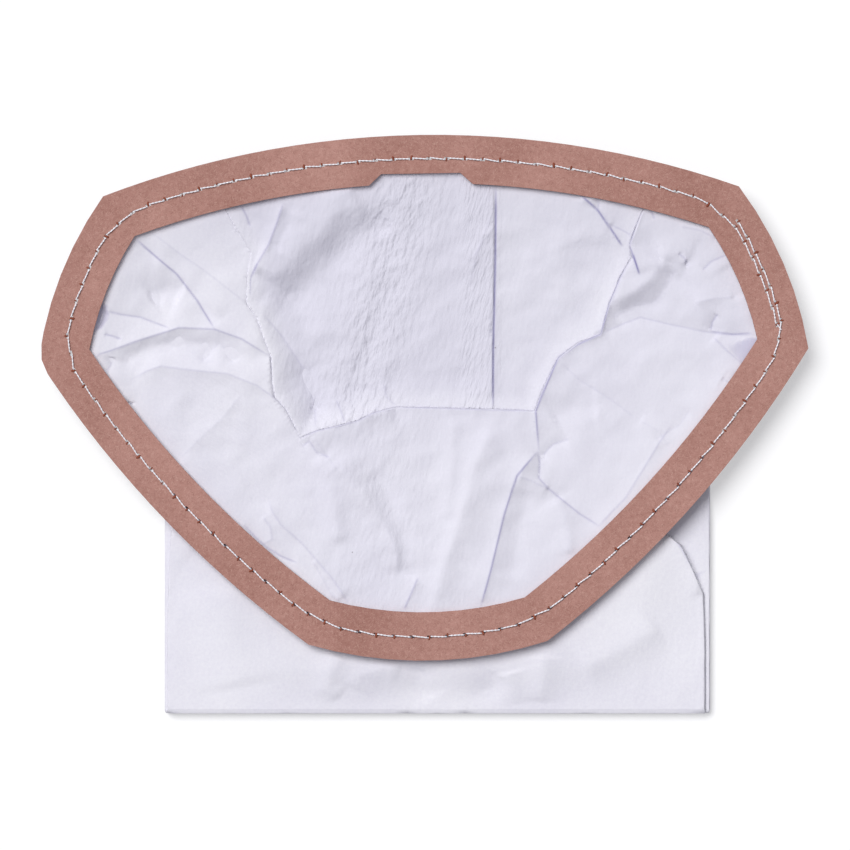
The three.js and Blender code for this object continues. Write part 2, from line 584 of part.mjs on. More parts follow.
// Hidden layers: the gusset halves and the front panel under the mouth
const backwards = row => [...row].reverse();
panel([edgeFold.crown[0], ...leftSide.upper, ...backwards(leftMiddle.lower), leftForkGusset,
  ...backwards(edgeLower.slice(1, leftTurn + 1))], []);
panel([...leftFront.lower, ...backwards(leftMiddle.upper)], []);
panel([edgeLower[leftTurn], leftForkFront, ...leftFront.upper, base[14], base[13], ...backwards(rightFront.upper), rightForkFront,
  ...backwards(edgeLower.slice(leftTurn + 1, rightTurn + 1))],
[point(430, 470, 7, -1), point(380, 540, 6.3, -1), point(480, 540, 6.3, -1), point(430, 600, 5.7, -1)]);
panel([...rightMiddle.upper, ...backwards(rightFront.lower)], []);
panel([...backwards(edgeLower.slice(rightTurn)), rightForkGusset, ...rightMiddle.lower, ...backwards(rightSide.upper)], []);

// Give every facet the same side, then thicken the sheet to a closed solid
function orient() {
  const edges = new Map();
  facets.forEach((f, i) => [[0, 1], [1, 2], [2, 0]].forEach(([a, b]) => {
    const key = Math.min(f[a], f[b]) + ' ' + Math.max(f[a], f[b]);
    if (!edges.has(key)) edges.set(key, []);
    edges.get(key).push(i);
  }));
  const seen = new Set([0]);
  const queue = [0];
  const first = facets[0];
  if (cross(sheet[first[0]], sheet[first[1]], sheet[first[2]]) < 0) first.reverse();
  while (queue.length) {
    const i = queue.pop();
    const f = facets[i];
    for (const [a, b] of [[f[0], f[1]], [f[1], f[2]], [f[2], f[0]]]) {
      for (const j of edges.get(Math.min(a, b) + ' ' + Math.max(a, b))) {
        if (seen.has(j)) continue;
        const g = facets[j];
        const at = g.indexOf(a);
        if (g[(at + 1) % 3] === b) g.reverse();
        seen.add(j);
        queue.push(j);
      }
    }
  }
  const worst = [...edges.values()].filter(list => list.length > 2).length;
  if (seen.size !== facets.length || worst) throw new Error('sheet: ' + seen.size + ' of ' + facets.length + ' facets joined, ' + worst + ' edges shared too often');
  return edges;
}
const sheetEdges = orient();
const half = paperThickness / 2;
const skin = (id, s) => {
  const v = sheet[id];
  return [v.x + v.way.x * half * s, v.y + v.way.y * half * s, v.z + v.way.z * half * s];
};
const lastRing = stations[stations.length - 1];
const innerRing = stations[stations.length - 2];
const lastSet = new Set(lastRing);
const skinFaces = [];
facets.forEach(f => {
  skinFaces.push([...f].reverse().map(id => skin(id, -1)));
  if (!f.some(id => lastSet.has(id))) skinFaces.push(f.map(id => skin(id, 1)));
});
const lipSet = new Set(lipOuter);
facets.forEach(f => [[0, 1], [1, 2], [2, 0]].forEach(([a, b]) => {
  const p = f[a];
  const q = f[b];
  if (!lipSet.has(p) || !lipSet.has(q) || sheetEdges.get(Math.min(p, q) + ' ' + Math.max(p, q)).length > 1) return;
  skinFaces.push([skin(p, 1), skin(p, -1), skin(q, -1)], [skin(p, 1), skin(q, -1), skin(q, 1)]);
}));
function cap(ring, s, facing) {
  const pts = ring.map(id => skin(id, s));
  THREE.ShapeUtils.triangulateShape(pts.map(p => new THREE.Vector2(p[0], p[2])), []).forEach(t => {
    const [a, b, c] = t.map(i => pts[i]);
    const y = (b[2] - a[2]) * (c[0] - a[0]) - (b[0] - a[0]) * (c[2] - a[2]);
    skinFaces.push(y * facing > 0 ? [a, b, c] : [c, b, a]);
  });
}
cap(lastRing, -1, 1);
cap(innerRing, 1, -1);
const sheetGeometry = new THREE.BufferGeometry();
sheetGeometry.setAttribute('position', new THREE.Float32BufferAttribute(skinFaces.flat(2), 3));
const bagSolid = wasm.Manifold.difference([
  toManifold(sheetGeometry),
  ...holeCutters(collarLift - 1.2, collarLift + 1),
]);

// Thread: straight runs on the board, dipping through every needle hole
const radius = threadThickness / 2;
const dip = 0.62;
const runHeight = collarTop + radius;
const dipHeight = collarLift - paperThickness - 1;
const sections = [];
seam.marks.forEach((m, i) => {
  const side = new THREE.Vector2(-m.forward.y, m.forward.x).multiplyScalar(radius);
  const corner = (along, z, s) => new THREE.Vector3(
    m.p.x + m.forward.x * along + side.x * s, m.p.y + m.forward.y * along + side.y * s, z);
  const section = (outerAlong, outerZ, innerAlong, innerZ) => sections.push([
    corner(outerAlong, outerZ, 1), corner(outerAlong, outerZ, -1), corner(innerAlong, innerZ, -1), corner(innerAlong, innerZ, 1)]);
  if (i > 0) section(-dip + radius, runHeight + radius, -dip - radius, runHeight - radius);
  else section(-3, runHeight + radius, -3, runHeight - radius), section(-dip + radius, runHeight + radius, -dip - radius, runHeight - radius);
  section(0, dipHeight + radius, 0, dipHeight - radius);
  section(dip - radius, runHeight + radius, dip + radius, runHeight - radius);
  if (i === seam.marks.length - 1) section(5, runHeight + radius, 5, runHeight - radius);
});
const threadFaces = [];
const quad = (a, b, c, d) => threadFaces.push(a, b, c, a, c, d);
for (let i = 0; i + 1 < sections.length; i++) {
  for (let k = 0; k < 4; k++) {
    const n = (k + 1) % 4;
    quad(sections[i][k], sections[i][n], sections[i + 1][n], sections[i + 1][k]);
  }
}
quad(sections[0][3], sections[0][2], sections[0][1], sections[0][0]);
const tailEnd = sections[sections.length - 1];
quad(tailEnd[0], tailEnd[1], tailEnd[2], tailEnd[3]);
const threadGeometry = new THREE.BufferGeometry();
threadGeometry.setAttribute('position', new THREE.Float32BufferAttribute(threadFaces.flatMap(p => [p.x, p.y, p.z]), 3));
const threadSolid = toManifold(threadGeometry);

// The part, with its origin under the middle of its box
const part = new THREE.Group();
part.name = 'vacuum_dust_bag';
const pieces = [
  ['cardboard_collar', collarSolid, 0xad837b],
  ['paper_bag', bagSolid, 0xdbdae3],
  ['sewing_thread', threadSolid, 0xf2f0ea],
];
const box = new THREE.Box3();
const meshes = pieces.map(([name, solid, color]) => {
  const mesh = new THREE.Mesh(fromManifold(solid), new THREE.MeshStandardMaterial({ color, roughness: 0.9 }));
  mesh.name = name;
  mesh.geometry.computeBoundingBox();
  box.union(mesh.geometry.boundingBox);
  return mesh;
});
const shift = new THREE.Vector3(-(box.min.x + box.max.x) / 2, -(box.min.y + box.max.y) / 2, -box.min.z);
meshes.forEach(mesh => {
  mesh.geometry.translate(shift.x, shift.y, shift.z);
  part.add(mesh);
});

export default part;
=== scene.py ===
import bpy
import math
import numpy as np
from mathutils import Matrix, Vector


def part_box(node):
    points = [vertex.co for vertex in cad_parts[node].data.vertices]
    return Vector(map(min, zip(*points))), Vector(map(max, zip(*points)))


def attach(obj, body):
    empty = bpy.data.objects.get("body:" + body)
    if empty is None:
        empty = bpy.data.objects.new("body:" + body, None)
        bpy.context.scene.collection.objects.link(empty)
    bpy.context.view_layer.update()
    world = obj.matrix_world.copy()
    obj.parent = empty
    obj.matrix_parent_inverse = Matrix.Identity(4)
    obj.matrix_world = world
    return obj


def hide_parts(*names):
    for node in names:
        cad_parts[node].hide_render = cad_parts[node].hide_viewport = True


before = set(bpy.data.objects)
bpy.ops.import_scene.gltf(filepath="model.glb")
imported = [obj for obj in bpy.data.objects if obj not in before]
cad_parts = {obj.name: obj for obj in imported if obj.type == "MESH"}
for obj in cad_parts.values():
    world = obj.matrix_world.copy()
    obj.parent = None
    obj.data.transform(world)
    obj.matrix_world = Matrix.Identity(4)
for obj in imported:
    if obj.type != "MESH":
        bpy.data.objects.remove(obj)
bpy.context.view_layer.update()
scene = bpy.context.scene

# Sizes of the collar and its seam, in millimetres
COLLAR = dict(width=340, top=280.8, bottom=105.6, top_rise=199.4, side_rise=127.4)
CENTRE_SHARE = 0.5015
BOWS = [24.9, 4.7, 8, 7.9, 8, 4.7]
STEPS = [26, 6, 15, 9, 15, 6]
BAND = 21.3
SEAM_SHARE = 0.49
GLUE_SHARE = 0.7
TURN = math.radians(0.9)
RAISE = 3.6
STITCH = 7.9
SPREAD = 1.1
CORNER_CUT = 9

# The drawing that the creases are placed on: millimetres to a unit, its middle, and its width in units
UNIT = 0.4416
MIDDLE = 424.5
DRAWING_WIDTH = 850


def ease(t):
    """0 up to 0, 1 from 1 on, and a smooth rise between them."""
    t = np.clip(t, 0, 1)
    return t * t * (3 - 2 * t)


def outline():
    """The collar's six tips, and for each side the centre and radius of its bowed edge."""
    low = -COLLAR["top_rise"] * CENTRE_SHARE
    high = low + COLLAR["top_rise"]
    waist = low + COLLAR["side_rise"]
    top, width, bottom = COLLAR["top"] / 2, COLLAR["width"] / 2, COLLAR["bottom"] / 2
    tips = [(top, high), (-top, high), (-width, waist), (-bottom, low), (bottom, low), (width, waist)]
    tips = [np.array(tip) for tip in tips]
    arcs = []
    for i, a in enumerate(tips):
        b = tips[(i + 1) % 6]
        half = np.linalg.norm(b - a) / 2
        radius = (half * half + BOWS[i] ** 2) / (2 * BOWS[i])
        inward = np.array([-(b[1] - a[1]), b[0] - a[0]]) / (2 * half)
        arcs.append(((a + b) / 2 + inward * (radius - BOWS[i]), radius))
    return tips, arcs


TIPS, ARCS = outline()


def meet(c, d, inset, near):
    """Where two neighbouring arcs cross once both are moved inwards, on the side of a given place."""
    r, s = c[1] - inset, d[1] - inset
    gap = d[0] - c[0]
    dist = np.linalg.norm(gap)
    along = (dist * dist + r * r - s * s) / (2 * dist)
    up = math.sqrt(max(r * r - along * along, 0))
    gap = gap / dist
    base = c[0] + gap * along
    side = np.array([-gap[1], gap[0]])
    return min((base + side * up, base - side * up), key=lambda p: np.linalg.norm(p - near))


def rim(inset, cut=0):
    """The collar's outline moved inwards, with each corner cut off by a length where one is given."""
    tips = [meet(ARCS[(i + 5) % 6], ARCS[i], inset, p) for i, p in enumerate(TIPS)]
    out = []
    for i, (centre, radius) in enumerate(ARCS):
        a = tips[i] - centre
        b = tips[(i + 1) % 6] - centre
        start = math.atan2(a[1], a[0]) % (2 * math.pi)
        end = math.atan2(b[1], b[0]) % (2 * math.pi)
        if end < start:
            end += 2 * math.pi
        trim = cut / (radius - inset)
        start, end = start + trim, end - trim
        for k in range(STEPS[i] + (1 if cut else 0)):
            t = start + (end - start) * k / STEPS[i]
            out.append(centre + (radius - inset) * np.array([math.cos(t), math.sin(t)]))
    return out


def settle(p):
    """A place on the collar, turned and raised as the collar lies."""
    c, s = math.cos(TURN), math.sin(TURN)
    return np.array([p[0] * c - p[1] * s, p[0] * s + p[1] * c + RAISE])


collar_low, collar_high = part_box("cardboard_collar")
SHIFT_X = collar_high.x * 1000 - max(settle(p)[0] for p in rim(0))
SHIFT_Y = collar_high.y * 1000 - max(settle(p)[1] for p in rim(0))
BOARD_TOP = collar_high.z
BOARD_UNDER = collar_low.z


def here(u, v):
    """A place on the drawing, 770 units across the collar, as metres in the scene."""
    return np.array([(u - MIDDLE) * UNIT + SHIFT_X, (MIDDLE - v) * UNIT + SHIFT_Y]) / 1000


def rim_at(inset):
    """The collar's outline moved inwards, as metres in the scene."""
    return [tuple((settle(p) + np.array([SHIFT_X, SHIFT_Y])) / 1000) for p in rim(inset)]


def seam_path():
    """The seam's line from one thread end to the other, and how many places its lapped stretch has."""
    loop = rim(BAND * SEAM_SHARE, CORNER_CUT)
    start = sum(s + 1 for s in STEPS[:5])
    path = [loop[(start + k) % len(loop)] for k in range(len(loop))][::-1]
    lap = STEPS[5] + 1
    return path[len(path) - lap:] + path, lap


def even_steps(travel, legs):
    """Places one stitch apart along the seam's line, each with the length walked to it."""
    count = round(sum(legs) / STITCH)
    step = sum(legs) / count
    marks, run, due = [], 0.0, 0.0
    for i, leg in enumerate(legs):
        while due <= run + leg + 1e-6 and len(marks) <= count:
            marks.append((travel[i] + (travel[i + 1] - travel[i]) * (due - run) / leg, due))
            due += step
        run += leg
    return marks, step


def seam_marks():
    """Every needle hole, and the way the seam runs there. The lapped stretches lie side by side."""
    travel, lap = seam_path()
    legs = [np.linalg.norm(travel[i] - travel[i - 1]) for i in range(1, len(travel))]
    marks, step = even_steps(travel, legs)
    total, lap_length, blend = sum(legs), sum(legs[:lap - 1]), 3 * step
    points = [place for place, _ in marks]
    c, s = math.cos(TURN), math.sin(TURN)
    out = []
    for i, (place, walked) in enumerate(marks):
        way = points[min(i + 1, len(points) - 1)] - points[max(i - 1, 0)]
        way = way / np.linalg.norm(way)
        # 1 along the first lap, and 1 along the last
        lead = 1 - ease((walked - lap_length) / blend)
        tail = ease((walked - (total - lap_length - blend)) / blend)
        side = np.array([-way[1], way[0]])
        place = settle(place + side * SPREAD * (lead - tail)) + np.array([SHIFT_X, SHIFT_Y])
        out.append((place / 1000, np.array([way[0] * c - way[1] * s, way[0] * s + way[1] * c])))
    return out


MARKS = seam_marks()

# Shader helpers


def link(tree, a, b):
    tree.links.new(a, b)


def node(tree, kind, **values):
    """A new node with its settings and its plain inputs filled in."""
    n = tree.nodes.new(kind)
    for key, value in values.items():
        if hasattr(n, key) and key not in n.inputs:
            setattr(n, key, value)
        else:
            n.inputs[key].default_value = value
    return n


def group(name, ins, outs):
    """An empty node group with named inputs and outputs."""
    g = bpy.data.node_groups.new(name, "ShaderNodeTree")
    for label, kind, value in ins:
        s = g.interface.new_socket(label, in_out="INPUT", socket_type=kind)
        if value is not None:
            s.default_value = value
    for label, kind in outs:
        g.interface.new_socket(label, in_out="OUTPUT", socket_type=kind)
    return g, g.nodes.new("NodeGroupInput"), g.nodes.new("NodeGroupOutput")


def place_group(tree, g, where, **values):
    """A group placed in a material, reading a place and with its own values."""
    n = tree.nodes.new("ShaderNodeGroup")
    n.node_tree = g
    for key, value in values.items():
        n.inputs[key.replace("_", " ")].default_value = value
    link(tree, where, n.inputs["Vector"])
    return n


def math_node(tree, op, a, b=None, clamp=False):
    n = tree.nodes.new("ShaderNodeMath")
    n.operation = op
    n.use_clamp = clamp
    for i, value in enumerate((a, b)):
        if value is None:
            continue
        if isinstance(value, (int, float)):
            n.inputs[i].default_value = value
        else:
            tree.links.new(value, n.inputs[i])
    return n.outputs[0]


def mix_color(t, fac, a, b):
    n = node(t, "ShaderNodeMix", data_type="RGBA")
    for slot, value in ((0, fac), (6, a), (7, b)):
        if isinstance(value, (tuple, float)):
            n.inputs[slot].default_value = value
        else:
            link(t, value, n.inputs[slot])
    return n.outputs[2]


def linear(level):
    """One colour value of 0 to 255, as the light it stands for."""
    level = level / 255
    return level / 12.92 if level <= 0.04045 else ((level + 0.055) / 1.055) ** 2.4


def srgb(r, g, b):
    return (linear(r), linear(g), linear(b), 1)


def make_fibres():
    """Short fibres lying every way, as a mask."""
    g, i, o = group("fibre_flecks", [("Vector", "NodeSocketVector", None), ("Scale", "NodeSocketFloat", 300),
                                     ("Stretch", "NodeSocketFloat", 5.0), ("Amount", "NodeSocketFloat", 0.5)],
                    [("Mask", "NodeSocketFloat")])
    total = None
    for turn in (0.3, 1.35, 2.4):
        m = node(g, "ShaderNodeMapping", vector_type="POINT")
        m.inputs["Rotation"].default_value = (0, 0, turn)
        link(g, i.outputs["Vector"], m.inputs["Vector"])
        c = node(g, "ShaderNodeCombineXYZ", X=1.0, Z=1.0)
        link(g, i.outputs["Stretch"], c.inputs["Y"])
        v = node(g, "ShaderNodeVectorMath", operation="MULTIPLY")
        link(g, m.outputs[0], v.inputs[0])
        link(g, c.outputs[0], v.inputs[1])
        n = node(g, "ShaderNodeTexNoise", Detail=1.0, Roughness=0.5)
        link(g, v.outputs[0], n.inputs["Vector"])
        link(g, i.outputs["Scale"], n.inputs["Scale"])
        edge = math_node(g, "SUBTRACT", n.outputs["Fac"], 0.62)
        edge = math_node(g, "MULTIPLY", edge, 9.0, clamp=True)
        total = edge if total is None else math_node(g, "MAXIMUM", total, edge)
    out = math_node(g, "MULTIPLY", total, i.outputs["Amount"], clamp=True)
    link(g, out, o.inputs["Mask"])
    return g


def make_mottle():
    """Soft, uneven tone over a few centimetres, with a finer mottle in it."""
    g, i, o = group("mottled_tone", [("Vector", "NodeSocketVector", None), ("Broad", "NodeSocketFloat", 18.0),
                                     ("Fine", "NodeSocketFloat", 260.0), ("Share", "NodeSocketFloat", 0.5)],
                    [("Tone", "NodeSocketFloat")])
    a = node(g, "ShaderNodeTexNoise", Detail=3.0, Roughness=0.55)
    b = node(g, "ShaderNodeTexNoise", Detail=4.0, Roughness=0.7)
    for n, name in ((a, "Broad"), (b, "Fine")):
        link(g, i.outputs["Vector"], n.inputs["Vector"])
        link(g, i.outputs[name], n.inputs["Scale"])
    mix = node(g, "ShaderNodeMix", data_type="FLOAT")
    link(g, i.outputs["Share"], mix.inputs[0])
    link(g, a.outputs["Fac"], mix.inputs[2])
    link(g, b.outputs["Fac"], mix.inputs[3])
    link(g, mix.outputs[0], o.inputs["Tone"])
    return g


def make_crepe():
    """Creped surface: short wavy ribs with a fine tooth between them."""
    g, i, o = group("crepe_relief", [("Vector", "NodeSocketVector", None), ("Turn", "NodeSocketFloat", 0.0),
                                     ("Rib Scale", "NodeSocketFloat", 520.0),
                                     ("Rib Stretch", "NodeSocketFloat", 0.35),
                                     ("Tooth", "NodeSocketFloat", 0.4)], [("Height", "NodeSocketFloat")])
    turn = node(g, "ShaderNodeVectorRotate", rotation_type="Z_AXIS")
    link(g, i.outputs["Vector"], turn.inputs["Vector"])
    link(g, i.outputs["Turn"], turn.inputs["Angle"])
    c = node(g, "ShaderNodeCombineXYZ", X=1.0, Z=1.0)
    link(g, i.outputs["Rib Stretch"], c.inputs["Y"])
    v = node(g, "ShaderNodeVectorMath", operation="MULTIPLY")
    link(g, turn.outputs[0], v.inputs[0])
    link(g, c.outputs[0], v.inputs[1])
    ribs = node(g, "ShaderNodeTexNoise", Detail=2.0, Roughness=0.45)
    link(g, v.outputs[0], ribs.inputs["Vector"])
    link(g, i.outputs["Rib Scale"], ribs.inputs["Scale"])
    tooth = node(g, "ShaderNodeTexNoise", Scale=2600.0, Detail=3.0, Roughness=0.7)
    link(g, i.outputs["Vector"], tooth.inputs["Vector"])
    fine = math_node(g, "MULTIPLY", tooth.outputs["Fac"], i.outputs["Tooth"])
    link(g, math_node(g, "ADD", ribs.outputs["Fac"], fine), o.inputs["Height"])
    return g


FIBRES, MOTTLE, CREPE = make_fibres(), make_mottle(), make_crepe()

# Finishes of the board, the paper, the thread and the torn fibre


def material(name, roughness, specular=0.3):
    """A plain material: itself, its tree, its shader and the place on the object."""
    m = bpy.data.materials.new(name)
    m.use_nodes = True
    t = m.node_tree
    b = t.nodes["Principled BSDF"]
    b.inputs["Roughness"].default_value = roughness
    b.inputs["Specular IOR Level"].default_value = specular
    where = t.nodes.new("ShaderNodeTexCoord").outputs["Object"]
    return m, t, b, where


def spread_tone(t, tone, low, gain):
    """The mottle's narrow range, spread over 0 to 1."""
    return math_node(t, "MULTIPLY", math_node(t, "SUBTRACT", tone.outputs[0], low), gain, clamp=True)


def uneven_roughness(t, b, tone, share):
    rough = math_node(t, "ADD", math_node(t, "MULTIPLY", tone.outputs[0], share), 0.68)
    link(t, rough, b.inputs["Roughness"])


def raise_by(t, b, height, strength, distance):
    """Fine relief from a height, by a bump on the shader's normal."""
    bump = node(t, "ShaderNodeBump", Strength=strength, Distance=distance)
    link(t, height, bump.inputs["Height"])
    link(t, bump.outputs[0], b.inputs["Normal"])


def board_material():
    m, t, b, where = material("kraft_board", 0.82, 0.25)
    moved = node(t, "ShaderNodeVectorMath", operation="ADD")
    moved.inputs[1].default_value = (0.37, 0.11, 0.05)
    link(t, where, moved.inputs[0])
    tone = place_group(t, MOTTLE, where, Broad=22.0, Fine=420.0, Share=0.45)
    light = place_group(t, FIBRES, where, Scale=620.0, Stretch=6.0, Amount=0.5)
    dark = place_group(t, FIBRES, moved.outputs[0], Scale=520.0, Stretch=5.0, Amount=0.45)
    color = mix_color(t, spread_tone(t, tone, 0.36, 3.4), srgb(155, 110, 99), srgb(182, 137, 126))
    color = mix_color(t, light.outputs[0], color, srgb(203, 166, 153))
    color = mix_color(t, dark.outputs[0], color, srgb(122, 78, 66))
    link(t, color, b.inputs["Base Color"])
    uneven_roughness(t, b, tone, 0.2)
    height = math_node(t, "ADD", tone.outputs[0], math_node(t, "MULTIPLY", light.outputs[0], 0.5))
    raise_by(t, b, height, 0.35, 0.00012)
    return m


# The paper's textures, one to a zone, as turn, scale, stretch and depth:
# the dimpled back panel, the ribbed left facet and the crinkled strip by the long seam
ZONE_TEXTURES = [(0.22, 430.0, 0.42, 5.0), (-0.95, 700.0, 0.10, 1.3), (0.25, 760.0, 0.22, 3.0)]


def paper_height(t, where, zones):
    """Height of the paper's texture: one crepe to a zone, and an even one all over."""
    split = node(t, "ShaderNodeSeparateColor")
    link(t, zones.outputs["Color"], split.inputs[0])
    height = None
    for i, (turn, scale, stretch, depth) in enumerate(ZONE_TEXTURES):
        crepe = place_group(t, CREPE, where, Turn=turn, Rib_Scale=scale, Rib_Stretch=stretch, Tooth=0.0)
        part = math_node(t, "MULTIPLY", crepe.outputs[0], split.outputs[i])
        part = math_node(t, "MULTIPLY", part, depth)
        height = part if height is None else math_node(t, "ADD", height, part)
    even = place_group(t, CREPE, where, Turn=0.12, Rib_Scale=620.0, Rib_Stretch=0.4, Tooth=0.5)
    return math_node(t, "ADD", height, math_node(t, "MULTIPLY", even.outputs[0], 0.55))


def dirt_specks(t, where):
    """Mask of a few tiny specks, far from one another."""
    cells = node(t, "ShaderNodeTexVoronoi", Scale=95.0)
    link(t, where, cells.inputs["Vector"])
    pick = node(t, "ShaderNodeSeparateColor")
    link(t, cells.outputs["Color"], pick.inputs[0])
    rare = math_node(t, "GREATER_THAN", pick.outputs[0], 0.9)
    dot = math_node(t, "LESS_THAN", cells.outputs["Distance"], 0.035)
    return math_node(t, "MULTIPLY", math_node(t, "MULTIPLY", rare, dot), 0.55)


def paper_material():
    m, t, b, where = material("filter_paper", 0.78, 0.2)
    tone = place_group(t, MOTTLE, where, Broad=14.0, Fine=700.0, Share=0.35)
    zones = node(t, "ShaderNodeAttribute", attribute_name="zones", attribute_type="GEOMETRY")
    crease = node(t, "ShaderNodeAttribute", attribute_name="painted_crease_shade", attribute_type="GEOMETRY")
    color = mix_color(t, spread_tone(t, tone, 0.35, 3.3), srgb(221, 219, 229), srgb(236, 235, 240))
    # Painted shade: darker inside the mouth, most on the back panel, from the zones attribute's alpha
    color = mix_color(t, zones.outputs["Alpha"], color, srgb(213, 211, 223))
    color = mix_color(t, dirt_specks(t, where), color, srgb(120, 112, 118))
    # Painted shade: violet dark lines along the creases and folded edges, read from the crease attribute
    drawn = math_node(t, "MULTIPLY", crease.outputs["Fac"], 0.75, clamp=True)
    color = mix_color(t, drawn, color, srgb(132, 128, 172))
    link(t, color, b.inputs["Base Color"])
    uneven_roughness(t, b, tone, 0.15)
    raise_by(t, b, paper_height(t, where, zones), 1.0, 0.00022)
    return m


def plain_material(name, base, other, roughness, scale):
    m, t, b, where = material(name, roughness)
    tone = place_group(t, MOTTLE, where, Broad=scale, Fine=scale * 9, Share=0.5)
    link(t, mix_color(t, spread_tone(t, tone, 0.35, 3.3), base, other), b.inputs["Base Color"])
    raise_by(t, b, tone.outputs[0], 0.3, 0.00005)
    return m


BOARD = board_material()
PAPER = paper_material()
THREAD = plain_material("white_thread", srgb(226, 224, 230), srgb(250, 249, 252), 0.7, 900.0)
BURR = plain_material("torn_board_fibre", srgb(118, 58, 42), srgb(146, 84, 64), 0.9, 700.0)

# Mesh helpers


def only(obj):
    bpy.ops.object.select_all(action="DESELECT")
    obj.select_set(True)
    bpy.context.view_layer.objects.active = obj


def add(primitive, name, **values):
    bpy.ops.object.select_all(action="DESELECT")
    primitive(**values)
    obj = bpy.context.active_object
    obj.name = name
    return obj


def copy_of(mesh, name):
    """A new object with its own copy of a mesh."""
    obj = bpy.data.objects.new(name, mesh.copy())
    scene.collection.objects.link(obj)
    return obj


def join(parts, name):
    """One piece from several."""
    bpy.ops.object.select_all(action="DESELECT")
    for part in parts:
        part.select_set(True)
    bpy.context.view_layer.objects.active = parts[0]
    bpy.ops.object.join()
    joined = bpy.context.active_object
    joined.name = name
    return joined


def corners(mesh):
    co = np.empty(len(mesh.vertices) * 3)
    mesh.vertices.foreach_get("co", co)
    return co.reshape(-1, 3)


def facing(mesh):
    """Which way each corner faces."""
    n = np.empty(len(mesh.vertices) * 3)
    mesh.vertices.foreach_get("normal", n)
    return n.reshape(-1, 3)


def move_corners(mesh, co):
    mesh.vertices.foreach_set("co", co.reshape(-1))
    mesh.update()


def round_faces(mesh, what):
    """The numbers of the corners or edges round each triangle."""
    numbers = np.empty(len(mesh.loops), int)
    mesh.loops.foreach_get(what, numbers)
    return numbers.reshape(-1, 3)


def finish_piece(obj, mat, slot, *nodes):
    obj.data.materials.clear()
    obj.data.materials.append(mat)
    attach(obj, "root")
    if nodes:
        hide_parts(*nodes)
    return obj


# Collar: the board keeps its solid and gets its finish
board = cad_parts["cardboard_collar"]
board.data.materials.clear()
board.data.materials.append(BOARD)

# Bag: the folded sheet, cut finer, with its ridges softened and its small creases pressed in

# Edge of the upper layer round the mouth, on the drawing, and the place in it where its left side ends
EDGE = [(222, 204), (237, 230), (251, 251), (247, 277), (246.5, 303), (257.5, 319), (265, 342), (271, 357),
        (272, 381.5), (274.5, 397), (286, 410), (294, 426), (300, 438), (316, 431), (333, 427), (357, 421),
        (373, 413), (396, 407), (440, 408), (493, 409), (535, 411), (543, 389), (558.6, 357.5), (578, 343),
        (601, 334),
        (609.6, 303), (620, 278), (632, 257), (630, 243), (643, 210), (660, 202)]
WINDOW = EDGE + [(660, 150), (222, 150)]
LEFT_SIDE_END = 14
